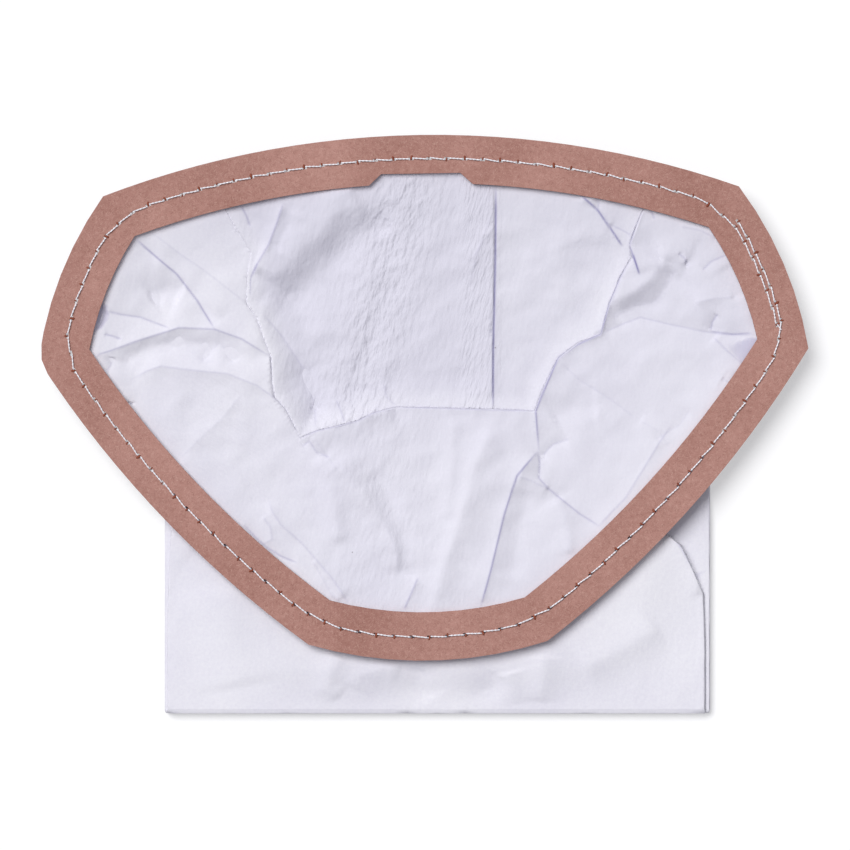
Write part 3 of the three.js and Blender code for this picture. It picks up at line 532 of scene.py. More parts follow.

# Creases: layer, height, width on the left, width on the right, sharpness, strength of the painted shade line
# along it, then places.
# Heights and widths in millimetres, left and right as the line is walked. A low sharpness is a sharp crease,
# a high one a broad fold. Where the height is below 0 the sheet is pressed down.
CREASES = [
    ("upper", -0.9, 7, 5, 1.1, 0.8, [(135.8, 239), (155, 256), (176, 273.8), (196, 299.5), (214, 328.5)]),
    ("upper", 0.55, 4, 6, 1.0, 0.15, [(150, 231), (176, 251), (205, 271), (226, 287), (246, 303)]),
    ("upper", -0.5, 3, 3, 1.0, 0.45, [(106, 311), (122, 314.5), (140, 317), (169, 328)]),
    ("upper", 0.9, 7, 4, 1.0, 0.5, [(92, 360), (99, 354), (109, 351), (136, 341), (161, 333), (178, 327.5),
     (214, 329), (241, 338.5), (270, 356.5)]),
    ("upper", 0.4, 3, 3, 1.0, 0.2, [(270, 356), (272, 372), (274, 393)]),
    ("upper", 0.8, 6, 5, 1.0, 0.25, [(130, 380), (146, 371), (160, 366), (191.6, 370), (227, 373.6),
     (256, 385), (276, 399), (287.6, 411), (297, 431)]),
    ("upper", -0.7, 4, 6, 1.5, 0, [(118, 372), (133, 356), (150, 346), (180, 342), (215, 346)]),
    ("upper", -0.5, 4, 3, 1.2, 0.1, [(200, 362), (208, 352), (219, 343), (228, 352), (233, 364)]),
    ("upper", -0.5, 2, 2, 1.0, 0.5, [(104, 334), (112, 336), (121, 339)]),
    ("upper", -0.9, 3, 3, 1.4, 0.3, [(106, 372), (110, 365), (112, 357)]),
    ("upper", -0.8, 6, 6, 1.6, 0, [(150, 300), (165, 290), (180, 297)]),
    ("upper", -1.0, 4, 6, 1.5, 0, [(125, 396), (142, 418), (160, 436), (185, 462)]),
    ("upper", 0.35, 4, 4, 1.0, 0.08, [(178, 460), (200, 438), (222, 418), (240, 395)]),
    ("upper", 0.5, 5, 5, 1.3, 0, [(150, 262), (172, 268), (200, 290), (222, 318)]),
    ("upper", 1.3, 9, 6, 1.3, 0.06, [(335, 458), (350, 478), (364, 498), (386, 527), (396, 550), (399, 575)]),
    ("upper", -0.7, 5, 7, 1.6, 0, [(372, 470), (392, 508), (404, 545), (405, 580)]),
    ("upper", 0.7, 6, 4, 1.4, 0, [(318, 456), (330, 485), (336, 515), (338, 545)]),
    ("upper", -0.5, 2.5, 2.5, 1.0, 0.3, [(302, 447), (309, 441), (317, 453), (330, 457.5)]),
    ("upper", 0.5, 2.5, 3.5, 1.0, 0.1, [(312, 436), (320, 447), (327, 458), (338, 470)]),
    ("upper", 1.0, 6, 3, 1.1, 0.25, [(268, 500), (272, 512), (281, 525), (301.5, 543), (315, 558.6),
     (330.5, 576.5), (340, 590), (348, 603)]),
    ("upper", 0.5, 3, 2, 1.0, 0.1, [(312, 560), (322, 578), (331, 594), (341, 603)]),
    ("upper", -0.9, 2.5, 3, 1.2, 0.5, [(243.5, 525), (256, 538), (266, 547), (280, 556), (297, 563)]),
    ("upper", 0.6, 3, 2.5, 1.0, 0.2, [(262, 545), (272, 539), (270, 527), (262, 516)]),
    ("upper", 1.0, 8, 5, 1.5, 0, [(495, 422), (475.5, 465), (462, 514), (446.5, 558.6), (432, 613)]),
    ("upper", 0.5, 6, 4, 1.5, 0, [(455, 416), (453, 458), (446, 520)]),
    ("upper", 0.5, 3, 1.5, 1.0, 0.5, [(418, 578), (411, 594), (404, 610)]),
    ("upper", 1.6, 12, 8, 1.0, 0.9, [(537.5, 452), (527, 464), (517, 476), (504.5, 514), (491, 570),
     (480.5, 608)]),
    ("upper", -0.5, 6, 8, 1.5, 0, [(528, 490), (520, 530), (510, 580)]),
    ("upper", 0.6, 3, 3, 1.0, 0.2, [(518, 476), (531, 480.5), (549, 489.4)]),
    ("upper", -0.6, 4, 2.5, 1.0, 0.5, [(538, 452), (540, 462.6), (539, 478), (549, 489), (565, 502),
     (580, 514), (600, 526.5)]),
    ("upper", 0.45, 3, 3, 1.0, 0.3, [(598, 527), (612, 512), (626, 498), (642, 472), (660, 442), (672, 425)]),
    ("upper", 0.6, 4, 5, 1.4, 0.05, [(556, 498), (565, 515), (568, 530), (570, 556)]),
    ("upper", -0.8, 4, 3, 1.2, 0.25, [(541, 460), (547, 451), (553.6, 444.5), (569, 439)]),
    ("upper", -0.35, 3, 5, 1.0, 0.12, [(562, 363), (580, 380), (609, 398), (636, 418)]),
    ("upper", -0.6, 7, 7, 1.7, 0, [(553, 420), (575, 406), (598, 404)]),
    ("upper", -0.8, 6, 7, 1.1, 0.25, [(600.5, 334), (623, 324), (641, 317), (670, 324), (703, 331),
     (723, 334), (757, 335)]),
    ("upper", 1.1, 9, 5, 1.3, 0.08, [(612, 303), (636, 291), (654, 276), (664, 260)]),
    ("upper", -0.8, 5, 7, 1.3, 0.08, [(611, 318), (636, 305), (656, 302), (668, 284), (676, 268)]),
    ("upper", 0.9, 7, 5, 1.4, 0, [(660, 258), (672, 254), (688, 262)]),
    ("upper", -0.5, 2.5, 2, 1.0, 0.35, [(679, 253), (685, 258), (689, 266)]),
    ("upper", -0.5, 3, 3, 1.0, 0.35, [(703, 270), (712, 261), (726, 255)]),
    ("upper", -1.1, 5, 5, 1.5, 0, [(726, 265), (737, 282), (744, 297)]),
    ("upper", 0.7, 5, 4, 1.2, 0.1, [(695, 303), (715, 298), (735, 297)]),
    ("upper", -0.6, 2.5, 2.5, 1.0, 0.45, [(718, 314), (713, 322), (711.5, 330)]),
    ("upper", -0.2, 3, 3, 1.0, 0.5, [(711, 331), (733, 334), (752, 333)]),
    ("upper", 0.7, 4, 3, 1.0, 0.3, [(714, 337), (728, 351), (744, 365)]),
    ("upper", -0.7, 3, 4, 1.3, 0.2, [(722, 378), (732, 384), (738, 372)]),
    ("upper", -0.5, 3, 3, 1.1, 0.4, [(651, 210), (655, 219)]),
    ("upper", 0.5, 4, 3, 1.0, 0.2, [(680, 226), (700, 230), (716, 238)]),
    ("upper", -0.5, 4, 4, 1.1, 0.1, [(655, 440), (680, 425), (690, 410)]),
    ("upper", 0.35, 4, 4, 1.0, 0.08, [(640, 420), (660, 432), (668, 446)]),
    ("edge", 0.7, 5, 3, 1.0, 0.8, [(643, 208), (634, 230), (629.6, 246), (633, 254), (639.6, 274)]),
    ("edge", 0.7, 3, 4, 1.0, 0.9, [(632, 257), (620, 278), (609.6, 303), (601, 334), (578, 344),
     (558.6, 357.5), (547, 384), (536, 411), (539, 450)]),
    ("edge", 1.3, 4, 8, 1.2, 0.6, [(300, 438), (316, 431), (333, 427), (357, 421), (373, 413), (396, 407)]),
    ("edge", 0.35, 4, 4, 1.0, 0.4, [(396, 407), (440, 408), (535, 411)]),
    ("upper", 0, 3, 3, 1.0, 0.6, [(633, 254), (639.6, 274)]),
    ("back", 1.5, 9, 2.6, 1.1, 0.5, [(283, 203), (277, 222), (268, 245), (258, 262), (252, 276)]),
    ("back", -0.8, 4, 6, 1.4, 0, [(291, 205), (284, 228), (274, 250)]),
    ("back", -0.8, 2.5, 3, 1.0, 0.5, [(241, 206), (246, 215), (250, 226)]),
    ("back", 0.8, 3, 3.5, 1.0, 0.55, [(249, 298), (250, 278), (257, 262)]),
    ("upper", -0.6, 3, 5, 1.1, 0.35, [(227, 207), (238, 228), (250, 249)]),
    ("back", 1.7, 12, 9, 1.6, 0, [(266, 280), (290, 262), (312, 240), (334, 216), (366, 203)]),
    ("back", -1.4, 10, 12, 1.7, 0, [(278, 305), (308, 284), (334, 258), (356, 234), (400, 216)]),
    ("back", 0.6, 8, 8, 1.5, 0, [(258, 300), (276, 318), (292, 342), (305, 372)]),
    ("back", -1.5, 9, 6, 1.1, 0.2, [(262, 313), (281, 335), (303, 369), (314, 402), (315.5, 431)]),
    ("back", -0.6, 7, 7, 1.6, 0, [(346, 408), (362, 366), (376, 322), (388, 280), (396, 240)]),
    ("back", 0.25, 1.5, 2, 1.0, 0.3, [(336, 400), (341, 412), (345, 424)]),
    ("back", 0.3, 1.5, 2, 1.0, 0.2, [(384, 384), (386, 396), (396, 406)]),
    ("back", 1.0, 8, 2.2, 1.0, 1.1, [(580, 194), (598, 210), (609.5, 226), (623, 246)]),
    ("back", -0.5, 1.5, 3, 1.0, 0.3, [(597, 197), (599, 204), (598, 210)]),
    ("back", -0.4, 3, 3, 1.0, 0.3, [(610, 224), (621, 229), (632, 235)]),
    ("back", 0.5, 2, 9, 1.0, 0, [(497.5, 188), (497, 250), (496, 300), (495, 350), (494.5, 409)]),
    ("back", -0.35, 2, 0.5, 1.0, 1.2, [(496, 188), (495.6, 250), (494.6, 300), (493.4, 350), (493.2, 409)]),
    ("back", 0.35, 2, 3, 1.0, 0.1, [(491, 215), (478, 250), (470, 285)]),
    ("back", 0.3, 2, 2, 1.0, 0.1, [(470, 262), (484, 240), (494, 226)]),
    ("back", 0.4, 5, 5, 1.4, 0, [(548, 250), (580, 238), (610, 232)]),
    ("front", 1.2, 8, 3.5, 1.1, 0.35, [(670, 531), (680, 546), (693, 567), (700, 580), (707, 594)]),
    ("front", 0.5, 3, 3, 1.0, 0.1, [(693, 516), (700, 534), (704, 547), (709, 566)]),
    ("front", 0.6, 9, 7, 1.6, 0, [(582, 670), (604, 659), (626, 647.6), (660, 627.5)]),
    ("front", 0.5, 6, 6, 1.6, 0, [(545, 655), (543, 680), (541, 704)]),
    ("front", 0.4, 6, 5, 1.6, 0, [(508, 672), (513, 690), (516, 706)]),
    ("front", 0.5, 6, 6, 1.5, 0, [(340, 655), (331, 672), (327, 690), (338, 700)]),
    ("front", 0.4, 5, 6, 1.5, 0, [(352, 690), (360, 676), (385, 668), (400, 672)]),
    ("front", -0.4, 7, 7, 1.6, 0, [(420, 668), (417, 685), (428, 703)]),
    ("front", -0.35, 6, 6, 1.6, 0, [(480, 706), (492, 688), (500, 676)]),
    ("front", 0.35, 8, 8, 1.6, 0, [(166, 520), (182, 548), (200, 575)]),
    ("front", 0.4, 14, 14, 1.8, 0, [(220, 590), (226, 640), (236, 690)]),
]

# Patches beside the board with painted shade, darkest toward a place, and the share by which each also sinks
SHADED_PATCHES = [([(92, 335), (97, 300), (106, 303), (110, 314), (104, 328)], (96, 318), 1.0),
        ([(727, 346), (752, 336), (764, 339), (744, 368)], (757, 348), 0.0)]

# Left side of the folded tube: on each row, where the panel's edge lies in the solid and where it belongs
LEFT_EDGE = [(500, 196, 172), (552.5, 195.8, 171.5), (558, 188, 170.5), (571.5, 182.4, 169.5),
             (594, 173.4, 168.5), (607, 171.7, 168), (705, 170, 167.5)]

# Below these sharpness values a crease is sharp, and very sharp
SHARP = 1.25
VERY_SHARP = 1.06

# Lengths to which the sheet's edges are cut, in metres: where it shows, beside a crease, and out of sight
PLAIN_CUT = 0.0022
FINE_CUT = 0.00086
HIDDEN_CUT = 0.012
CUTTING_PASSES = 15

# Heights in the folded sheet, in metres
BACK_FLOOR = 0.0033
FRONT_FLOOR = 0.0052
FRONT_CEILING = 0.0085
UPPER_FLOOR = 0.0077
LAYER_STEP = 0.0016

# Middle of the flat tube from left to right, and the line at which its foot is squared, in metres
TUBE_MIDDLE = 0.0056
FOOT_START = 0.1235
FOOT_END = 0.128


def inside(points, loop):
    """Which points lie inside a closed outline."""
    x, y = points[:, 0], points[:, 1]
    odd = np.zeros(len(points), bool)
    for a, b in zip(loop, loop[1:] + loop[:1]):
        if a[1] == b[1]:
            continue
        hit = ((a[1] > y) != (b[1] > y)) & (x < (b[0] - a[0]) * (y - a[1]) / (b[1] - a[1]) + a[0])
        odd ^= hit
    return odd


def along_line(points, line):
    """For each point: distance to the line, side of it, share of its length walked, nearest place on it."""
    best = np.full(len(points), 1e9)
    side = np.zeros(len(points))
    walked = np.zeros(len(points))
    spot = np.zeros((len(points), 2))
    legs = [np.linalg.norm(b - a) for a, b in zip(line, line[1:])]
    done = 0.0
    for a, b, leg in zip(line, line[1:], legs):
        d = b - a
        t = np.clip(((points - a) @ d) / (d @ d), 0, 1)
        near = a + t[:, None] * d
        gap = np.linalg.norm(points - near, axis=1)
        closer = gap < best
        best = np.where(closer, gap, best)
        cross = d[0] * (points[:, 1] - a[1]) - d[1] * (points[:, 0] - a[0])
        side = np.where(closer, cross, side)
        walked = np.where(closer, (done + t * leg) / sum(legs), walked)
        spot[closer] = near[closer]
        done += leg
    return best, side, walked, spot


def from_outline(points, loop):
    """Distance of each point to a closed outline."""
    return along_line(points, np.array(loop + loop[:1]))[0]


def close_by(points, line, reach):
    """The points in a box a little larger than the line."""
    low, high = np.array(line).min(0) - reach, np.array(line).max(0) + reach
    return np.where(((points > low) & (points < high)).all(1))[0]


def waves(points, seed, scale, turn, stretch):
    """Smooth uneven waves from a few sines, the same on every run."""
    rng = np.random.default_rng(seed)
    c, s = math.cos(turn), math.sin(turn)
    u = (points[:, 0] * c + points[:, 1] * s) * stretch
    v = -points[:, 0] * s + points[:, 1] * c
    total = np.zeros(len(points))
    for _ in range(14):
        a = rng.uniform(0, math.tau)
        f = rng.uniform(0.6, 1.7) * math.tau / scale
        total += np.sin((u * math.cos(a) + v * math.sin(a)) * f + rng.uniform(0, math.tau))
    return total / 5


FOLDED_EDGE = np.array([here(*p) for p in EDGE])
OPENING = [tuple(here(*p)) for p in WINDOW]
CREASE_LINES = [np.array([here(*p) for p in crease[6]]) for crease in CREASES]


def showing(mid, up, length):
    """Which edges belong to the side of the sheet that shows from above."""
    over_back = inside(mid[:, :2], OPENING)
    some = close_by(mid[:, :2], FOLDED_EDGE, 0.003)
    some = some[(length[some] > FINE_CUT) & ~over_back[some]]
    over_back[some] = along_line(mid[some, :2], FOLDED_EDGE)[0] < 0.003
    in_front = ~inside(mid[:, :2], rim_at(9)) & (mid[:, 2] < FRONT_CEILING)
    lowest = np.where(over_back, BACK_FLOOR, np.where(in_front, FRONT_FLOOR, UPPER_FLOOR))
    return (up > 0.35).all(1) & (mid[:, 2] > lowest)


def longest_allowed(mid, length, top, lines):
    """How long each edge may stay: least beside a crease."""
    limit = np.where(top, PLAIN_CUT, HIDDEN_CUT)
    pick = np.where(top & (length > FINE_CUT))[0]
    close = np.full(len(pick), False)
    half = length[pick] / 2
    for line in lines:
        some = close_by(mid[pick, :2], line, 0.004)
        some = some[~close[some]]
        close[some] |= along_line(mid[pick[some], :2], line)[0] < 0.0006 + half[some] * 0.75
    limit[pick[close]] = FINE_CUT
    return limit


def drop_shorter_cuts(mesh, chosen, length):
    """A face is cut across its longest edge or on all three, so of two chosen edges the shorter one goes."""
    sides = round_faces(mesh, "edge_index")
    rank = length + np.arange(len(length)) * 1e-13
    for _ in range(2000):
        two = sides[chosen[sides].sum(1) == 2]
        if not len(two):
            break
        shorter = np.where(chosen[two], rank[two], 9).argmin(1)
        chosen[two[np.arange(len(two)), shorter]] = False


def refine(obj, lines):
    """Cut the long edges of the side that faces up, again and again, finest beside the creases."""
    only(obj)
    mesh = obj.data
    bpy.ops.object.mode_set(mode="EDIT")
    bpy.ops.mesh.select_mode(type="EDGE")
    bpy.ops.mesh.select_all(action="SELECT")
    bpy.ops.mesh.remove_doubles(threshold=2e-6)
    bpy.ops.object.mode_set(mode="OBJECT")
    for _ in range(CUTTING_PASSES):
        co, up = corners(mesh), facing(mesh)[:, 2]
        ends = np.empty(len(mesh.edges) * 2, int)
        mesh.edges.foreach_get("vertices", ends)
        ends = ends.reshape(-1, 2)
        a, b = co[ends[:, 0]], co[ends[:, 1]]
        mid = (a + b) / 2
        length = np.linalg.norm(b - a, axis=1)
        top = showing(mid, up[ends], length)
        chosen = length > longest_allowed(mid, length, top, lines)
        if not chosen.any():
            break
        drop_shorter_cuts(mesh, chosen, length)
        mesh.vertices.foreach_set("select", np.zeros(len(mesh.vertices), bool))
        mesh.polygons.foreach_set("select", np.zeros(len(mesh.polygons), bool))
        mesh.edges.foreach_set("select", chosen)
        bpy.ops.object.mode_set(mode="EDIT")
        bpy.ops.mesh.subdivide(number_cuts=1, ngon=False)
        bpy.ops.object.mode_set(mode="OBJECT")


def flat_areas(co, faces):
    """Twice the area of each face as seen from above, below zero where it faces down."""
    a, b, c = (co[faces[:, k], :2] for k in range(3))
    return np.cross(b - a, c - a)


def draw_onto(mesh, lines):
    """Move the corners nearest a crease onto it, save where that would flatten a face."""
    was, up = corners(mesh), facing(mesh)[:, 2]
    faces = round_faces(mesh, "vertex_index")
    now = was.copy()
    free = along_line(was[:, :2], FOLDED_EDGE)[0] > 0.0014
    for line in lines:
        some = close_by(was[:, :2], line, 0.001)
        d, _, _, spot = along_line(was[some, :2], line)
        near = (d < 0.0002) & (up[some] > 0.3) & free[some]
        now[some[near], :2] = spot[near]
        free[some[near]] = False
    before = flat_areas(was, faces)
    for _ in range(6):
        spoiled = (flat_areas(now, faces) * np.sign(before) < 0.3 * np.abs(before)) & (np.abs(before) > 0)
        again = np.unique(faces[spoiled])
        now[again] = was[again]
    move_corners(mesh, now)


class Sheet:
    """What each corner of the folded sheet knows of its place, as seen from above."""

    def __init__(self, mesh):
        xy = corners(mesh)[:, :2]
        glued, lip, outer = rim_at(BAND * GLUE_SHARE), rim_at(BAND), rim_at(0)
        self.xy = xy
        self.up = facing(mesh)[:, 2]
        self.u = MIDDLE + (xy[:, 0] * 1000 - SHIFT_X) / UNIT
        self.v = MIDDLE - (xy[:, 1] * 1000 - SHIFT_Y) / UNIT
        self.window = inside(xy, OPENING)
        self.from_glue = from_outline(xy, glued)
        self.from_lip = from_outline(xy, lip)
        self.from_outer = from_outline(xy, outer)
        self.in_mouth, self.in_open, self.outside = inside(xy, glued), inside(xy, lip), ~inside(xy, outer)
        self.from_edge, _, self.on_edge, _ = along_line(xy, FOLDED_EDGE)
        self.from_middle = np.abs(xy[:, 0] - TUBE_MIDDLE)
        self.inner = ease(self.from_edge / 0.004)
        self.fade_mouth = ease(self.from_glue / 0.006) * self.in_mouth
        self.fade_front = ease(self.from_outer / 0.003) * self.outside * ease((xy[:, 1] + 0.1265) / 0.01)
        self.fade_front = self.fade_front * ease((0.1175 - self.from_middle) / 0.003)

    def sort_layers(self, z):
        """Tell the layer over the back panel from the panel, by its height at the folded edge."""
        shown = ~self.window & (self.up > 0.3)
        tops = []
        for place in FOLDED_EDGE:
            near = shown & (np.linalg.norm(self.xy - place, axis=1) < 0.0022)
            tops.append(z[near].max() if near.any() else 0)
        stops = np.concatenate([[0], np.cumsum(np.linalg.norm(np.diff(FOLDED_EDGE, axis=0), axis=1))])
        self.stops = stops / stops[-1]
        self.level = np.interp(self.on_edge, self.stops, tops)
        at_edge = (z > self.level - LAYER_STEP) & (~self.window | (self.from_edge < 0.0009))
        self.upper = np.where(self.from_edge < 0.008, at_edge, ~self.window)
        self.back = self.window & ~self.upper & (z > BACK_FLOOR)


def soften_ridges(bag, sheet):
    """The sheet between the folds goes soft, in its heights alone."""
    keep = sheet.in_mouth & (sheet.from_edge > 0.002) & (sheet.from_glue > 0.001)
    soft = bag.vertex_groups.new(name="soften")
    soft.add(np.where(keep)[0].tolist(), 1.0, "REPLACE")
    only(bag)
    smooth = bag.modifiers.new("soften", "SMOOTH")
    smooth.use_x = smooth.use_y = False
    smooth.factor = 0.5
    smooth.iterations = 12
    smooth.vertex_group = "soften"
    bpy.ops.object.modifier_apply(modifier="soften")
    bag.vertex_groups.clear()
    co = corners(bag.data)
    co[:, :2] = sheet.xy
    return co


def crease_rise(layer, height, power):
    """Height of a crease in metres. Broad folds stand higher than the lines drawn for them say."""
    if power <= SHARP:
        return height * 1.8 * 1e-3
    return height * (2.0 if layer == "back" else 2.6) * 1e-3


def press_creases(sheet):
    """How far each crease raises the sheet, and the painted shade line along it."""
    rise = np.zeros(len(sheet.xy))
    tone = np.zeros(len(sheet.xy))
    masks = {"front": sheet.fade_front, "back": sheet.fade_mouth * sheet.back * sheet.inner,
             "edge": sheet.fade_mouth * sheet.upper,
             "upper": sheet.fade_mouth * sheet.upper * ease(sheet.from_edge / 0.0015 + 0.15)}
    for line, (layer, height, left, right, power, dark, _) in zip(CREASE_LINES, CREASES):
        some = close_by(sheet.xy, line, 0.03)
        d, side, walked, _ = along_line(sheet.xy[some], line)
        width = np.where(side > 0, left, right) * 1e-3
        ends = ease(walked / 0.15 + 0.25) * ease((1 - walked) / 0.15 + 0.25)
        mask = masks[layer][some]
        rise[some] += crease_rise(layer, height, power) * np.exp(-(d / width) ** power) * ends * mask
        # Painted shade: a narrow dark line along the crease, standing in for its shadow
        painted_line_shade = dark * np.exp(-(d / 0.00045) ** 2) * ends * (mask > 0.2)
        tone[some] += painted_line_shade * ((sheet.up[some] > 0.2) | (layer == "edge"))
    return rise, tone


def ripples(sheet):
    """Soft uneven waves of the paper in the mouth, with long shallow troughs, and fainter ones in front."""
    xy = sheet.xy
    mouth = 0.00026 * waves(xy, 5, 0.021, 0.4, 0.8) + 0.00010 * waves(xy, 8, 0.009, 1.9, 0.6)
    troughs = 0.00034 * np.abs(waves(xy, 21, 0.034, 0.8, 0.7))
    mouth -= troughs + 0.00018 * np.abs(waves(xy, 34, 0.017, 2.2, 0.8))
    front = 0.0002 * waves(xy, 11, 0.045, 0.9, 0.7) - 0.0002 * np.abs(waves(xy, 13, 0.05, 1.4, 0.6))
    fade = np.where(sheet.back, sheet.fade_mouth * sheet.inner, sheet.fade_mouth)
    return mouth * fade + front * sheet.fade_front


def swell_beside_collar(sheet, z):
    """The front panel stands up a little where it leaves the collar."""
    beside = np.where(sheet.outside, sheet.from_outer, 0)
    y = sheet.xy[:, 1]
    swell = 0.0030 * np.exp(-(beside / 0.024) ** 2) * ease(sheet.from_glue / 0.004) * ~sheet.in_mouth
    swell *= ease((0.119 - sheet.from_middle) / 0.03) * ease((y + 0.127) / 0.02) * ease((-0.03 - y) / 0.03)
    return swell * ((sheet.up > 0.3) & (z > FRONT_FLOOR) & (z < FRONT_CEILING) & ~sheet.in_mouth)


def close_back_panel(sheet, co):
    """The back panel lies up against the layer over it: level on the left, a little lower elsewhere."""
    z, from_edge, level = co[:, 2], sheet.from_edge, sheet.level
    left_side = ease((sheet.stops[LEFT_SIDE_END] - sheet.on_edge) / 0.06)
    past = np.where(sheet.window, from_edge, -from_edge)
    under_layer = ~sheet.upper & (z > BACK_FLOOR) & (z < level - LAYER_STEP) & (past > -0.0016)
    gap = 0.0009 - 0.00088 * left_side + np.where(sheet.window, 0, 0.00055)
    pull = np.exp(-(from_edge / (0.006 + 0.002 * left_side)) ** 1.7) * (sheet.back | under_layer)
    pull = pull * (sheet.up > 0.2) * sheet.fade_mouth
    co[:, 2] += np.maximum(level - gap - z, 0) * pull


def sink_and_shade_patches(sheet, co, tone):
    """Sink the patches beside the board and paint shade on them, darkest toward their far place. Gives the
    painted shade with the crease lines in it, and how far in a patch a corner is.
    """
    dip = np.zeros(len(co))
    for patch, far, share in SHADED_PATCHES:
        patch = [tuple(here(*p)) for p in patch]
        in_patch, from_rim = inside(sheet.xy, patch), from_outline(sheet.xy, patch)
        soft_in = in_patch * ease(from_rim / 0.0035)
        # Painted shade: each patch is darkened, most toward its far place, where it lies deep below the board
        painted_patch_shade = in_patch * ease(from_rim / 0.0009)
        away = np.linalg.norm(sheet.xy - here(*far), axis=1)
        co[:, 2] -= share * soft_in * sheet.upper * np.maximum(0.0008 - 0.04 * away, 0.0001)
        tone = np.maximum(tone, 0.5 * painted_patch_shade * sheet.upper * (sheet.up > 0.2) * ease(1.3 - away / 0.013))
        dip = np.maximum(dip, share * soft_in)
    return tone, dip


def lift_to_board(sheet, co, tone):
    """Beside the board the sheet lies close up to it, and never in it."""
    lift = np.where(sheet.back, BOARD_UNDER - 0.0008, BOARD_UNDER - 0.0003) - co[:, 2]
    lift = np.maximum(lift, 0) * np.exp(-(sheet.from_lip / 0.010) ** 1.5) * 0.72
    lift = lift * ease(sheet.from_glue / 0.004)
    tone, dip = sink_and_shade_patches(sheet, co, tone)
    shown = sheet.in_mouth & (sheet.up > 0.2) & (sheet.upper | sheet.back) & (co[:, 2] > 0.0070)
    co[:, 2] += lift * shown * (1 - dip)
    ceiling = BOARD_UNDER - 0.00008 + np.where(sheet.in_open, sheet.from_lip * 0.7, 0)
    co[:, 2] = np.where(sheet.in_mouth, np.minimum(co[:, 2], ceiling), co[:, 2])
    return tone


def keep_layers_apart(sheet, co, resting):
    """Nothing sinks through the floor of the bag, and the hidden side keeps under the side that shows."""
    co[:, 2] = np.maximum(co[:, 2], np.minimum(resting, 0.0010 + 0.0004 * (sheet.up > 0)))
    under = (sheet.up < -0.3) & sheet.in_mouth & (co[:, 2] > 0.0045)
    co[under, 2] -= 0.0006 * ease(sheet.from_lip[under] / 0.006)


def straighten_left_edge(sheet, co):
    """The front panel's left edge runs straight down, and its upper end goes up under the collar."""
    u, v = sheet.u, sheet.v
    rows, lies, belongs = np.array(LEFT_EDGE).T
    left = here(0, 0)[0]
    was = left + np.interp(v, rows, lies) * UNIT / 1000
    now = left + np.interp(v, rows, belongs) * UNIT / 1000
    rim_x = here(163.5, 0)[0]
    inner_x = was + 0.03
    x = co[:, 0]
    out_zone = (x > rim_x) & (x <= was)
    in_zone = (x > was) & (x < inner_x)
    moved = np.where(out_zone, rim_x + (x - rim_x) * (now - rim_x) / (was - rim_x), x)
    moved = np.where(in_zone, now + (x - was) * (inner_x - now) / (inner_x - was), moved)
    below_collar = co[:, 2] < 0.0095
    co[:, 0] = x + (moved - x) * ease((v - 480) / 30) * below_collar
    raised = 27 * ease((612 - v) / 62) * ease((v - 430) / 90) * ease((270 - u) / 60)
    co[:, 1] += raised * below_collar * ~sheet.in_mouth * UNIT / 1000


def square_foot(co):
    """Every layer ends on one straight line at the foot."""
    y = co[:, 1]
    low = np.where(y < -FOOT_START, -FOOT_START + (y + FOOT_START) * 1.5, y)
    co[:, 1] = np.where(low < -FOOT_END, -FOOT_END + 0.1 * (low + FOOT_END), low)


def paint_zones(mesh, sheet, tone):
    """Leave on the mesh the textures, the painted shade and the painted shade lines along the creases that
    the paper's finish reads.
    """
    u, v, window, in_mouth = sheet.u, sheet.v, sheet.window, sheet.in_mouth
    dimples = 0.3 + 1.0 * np.exp(-((u - 380 + 0.25 * (v - 300)) / 32) ** 2)
    dimples = window * dimples * np.where(u > 500, 0.5, 1)
    dimples = np.maximum(dimples, 0.4 * in_mouth * np.exp(-((u - 380) / 80) ** 2) * (v > 400))
    ribs = in_mouth * ~window * np.exp(-((u - 215) / 62) ** 4 - ((v - 430) / 62) ** 4)
    crinkle = window * ease((u - 455) / 12) * ease((495 - u) / 3)
    # Painted shade: the back panel darker away from the folded edge, the upper layer on the right a little
    # darker, and all of the mouth darker than the front
    shade = window * ease(sheet.from_edge / 0.012) * np.where(u > 497, 0.45, 0.85)
    shade = shade + 0.4 * in_mouth * ~window * ease((u - 300) / 40)
    shade = np.where(in_mouth, 0.27 + 0.73 * shade, 0)
    zones = mesh.attributes.new("zones", "FLOAT_COLOR", "POINT")
    values = np.stack([dimples, ribs, crinkle, shade], 1).astype(np.float32)
    zones.data.foreach_set("color", values.reshape(-1))
    # Painted shade lines along the creases and folded edges
    lines_at = mesh.attributes.new("painted_crease_shade", "FLOAT", "POINT")
    lines_at.data.foreach_set("value", tone.astype(np.float32))


def smooth_faces(bag):
    only(bag)
    bpy.ops.object.shade_smooth_by_angle(angle=math.radians(62))
    even = bag.modifiers.new("even", "WEIGHTED_NORMAL")
    even.mode = "FACE_AREA"
    even.keep_sharp = True
    bpy.ops.object.modifier_apply(modifier="even")


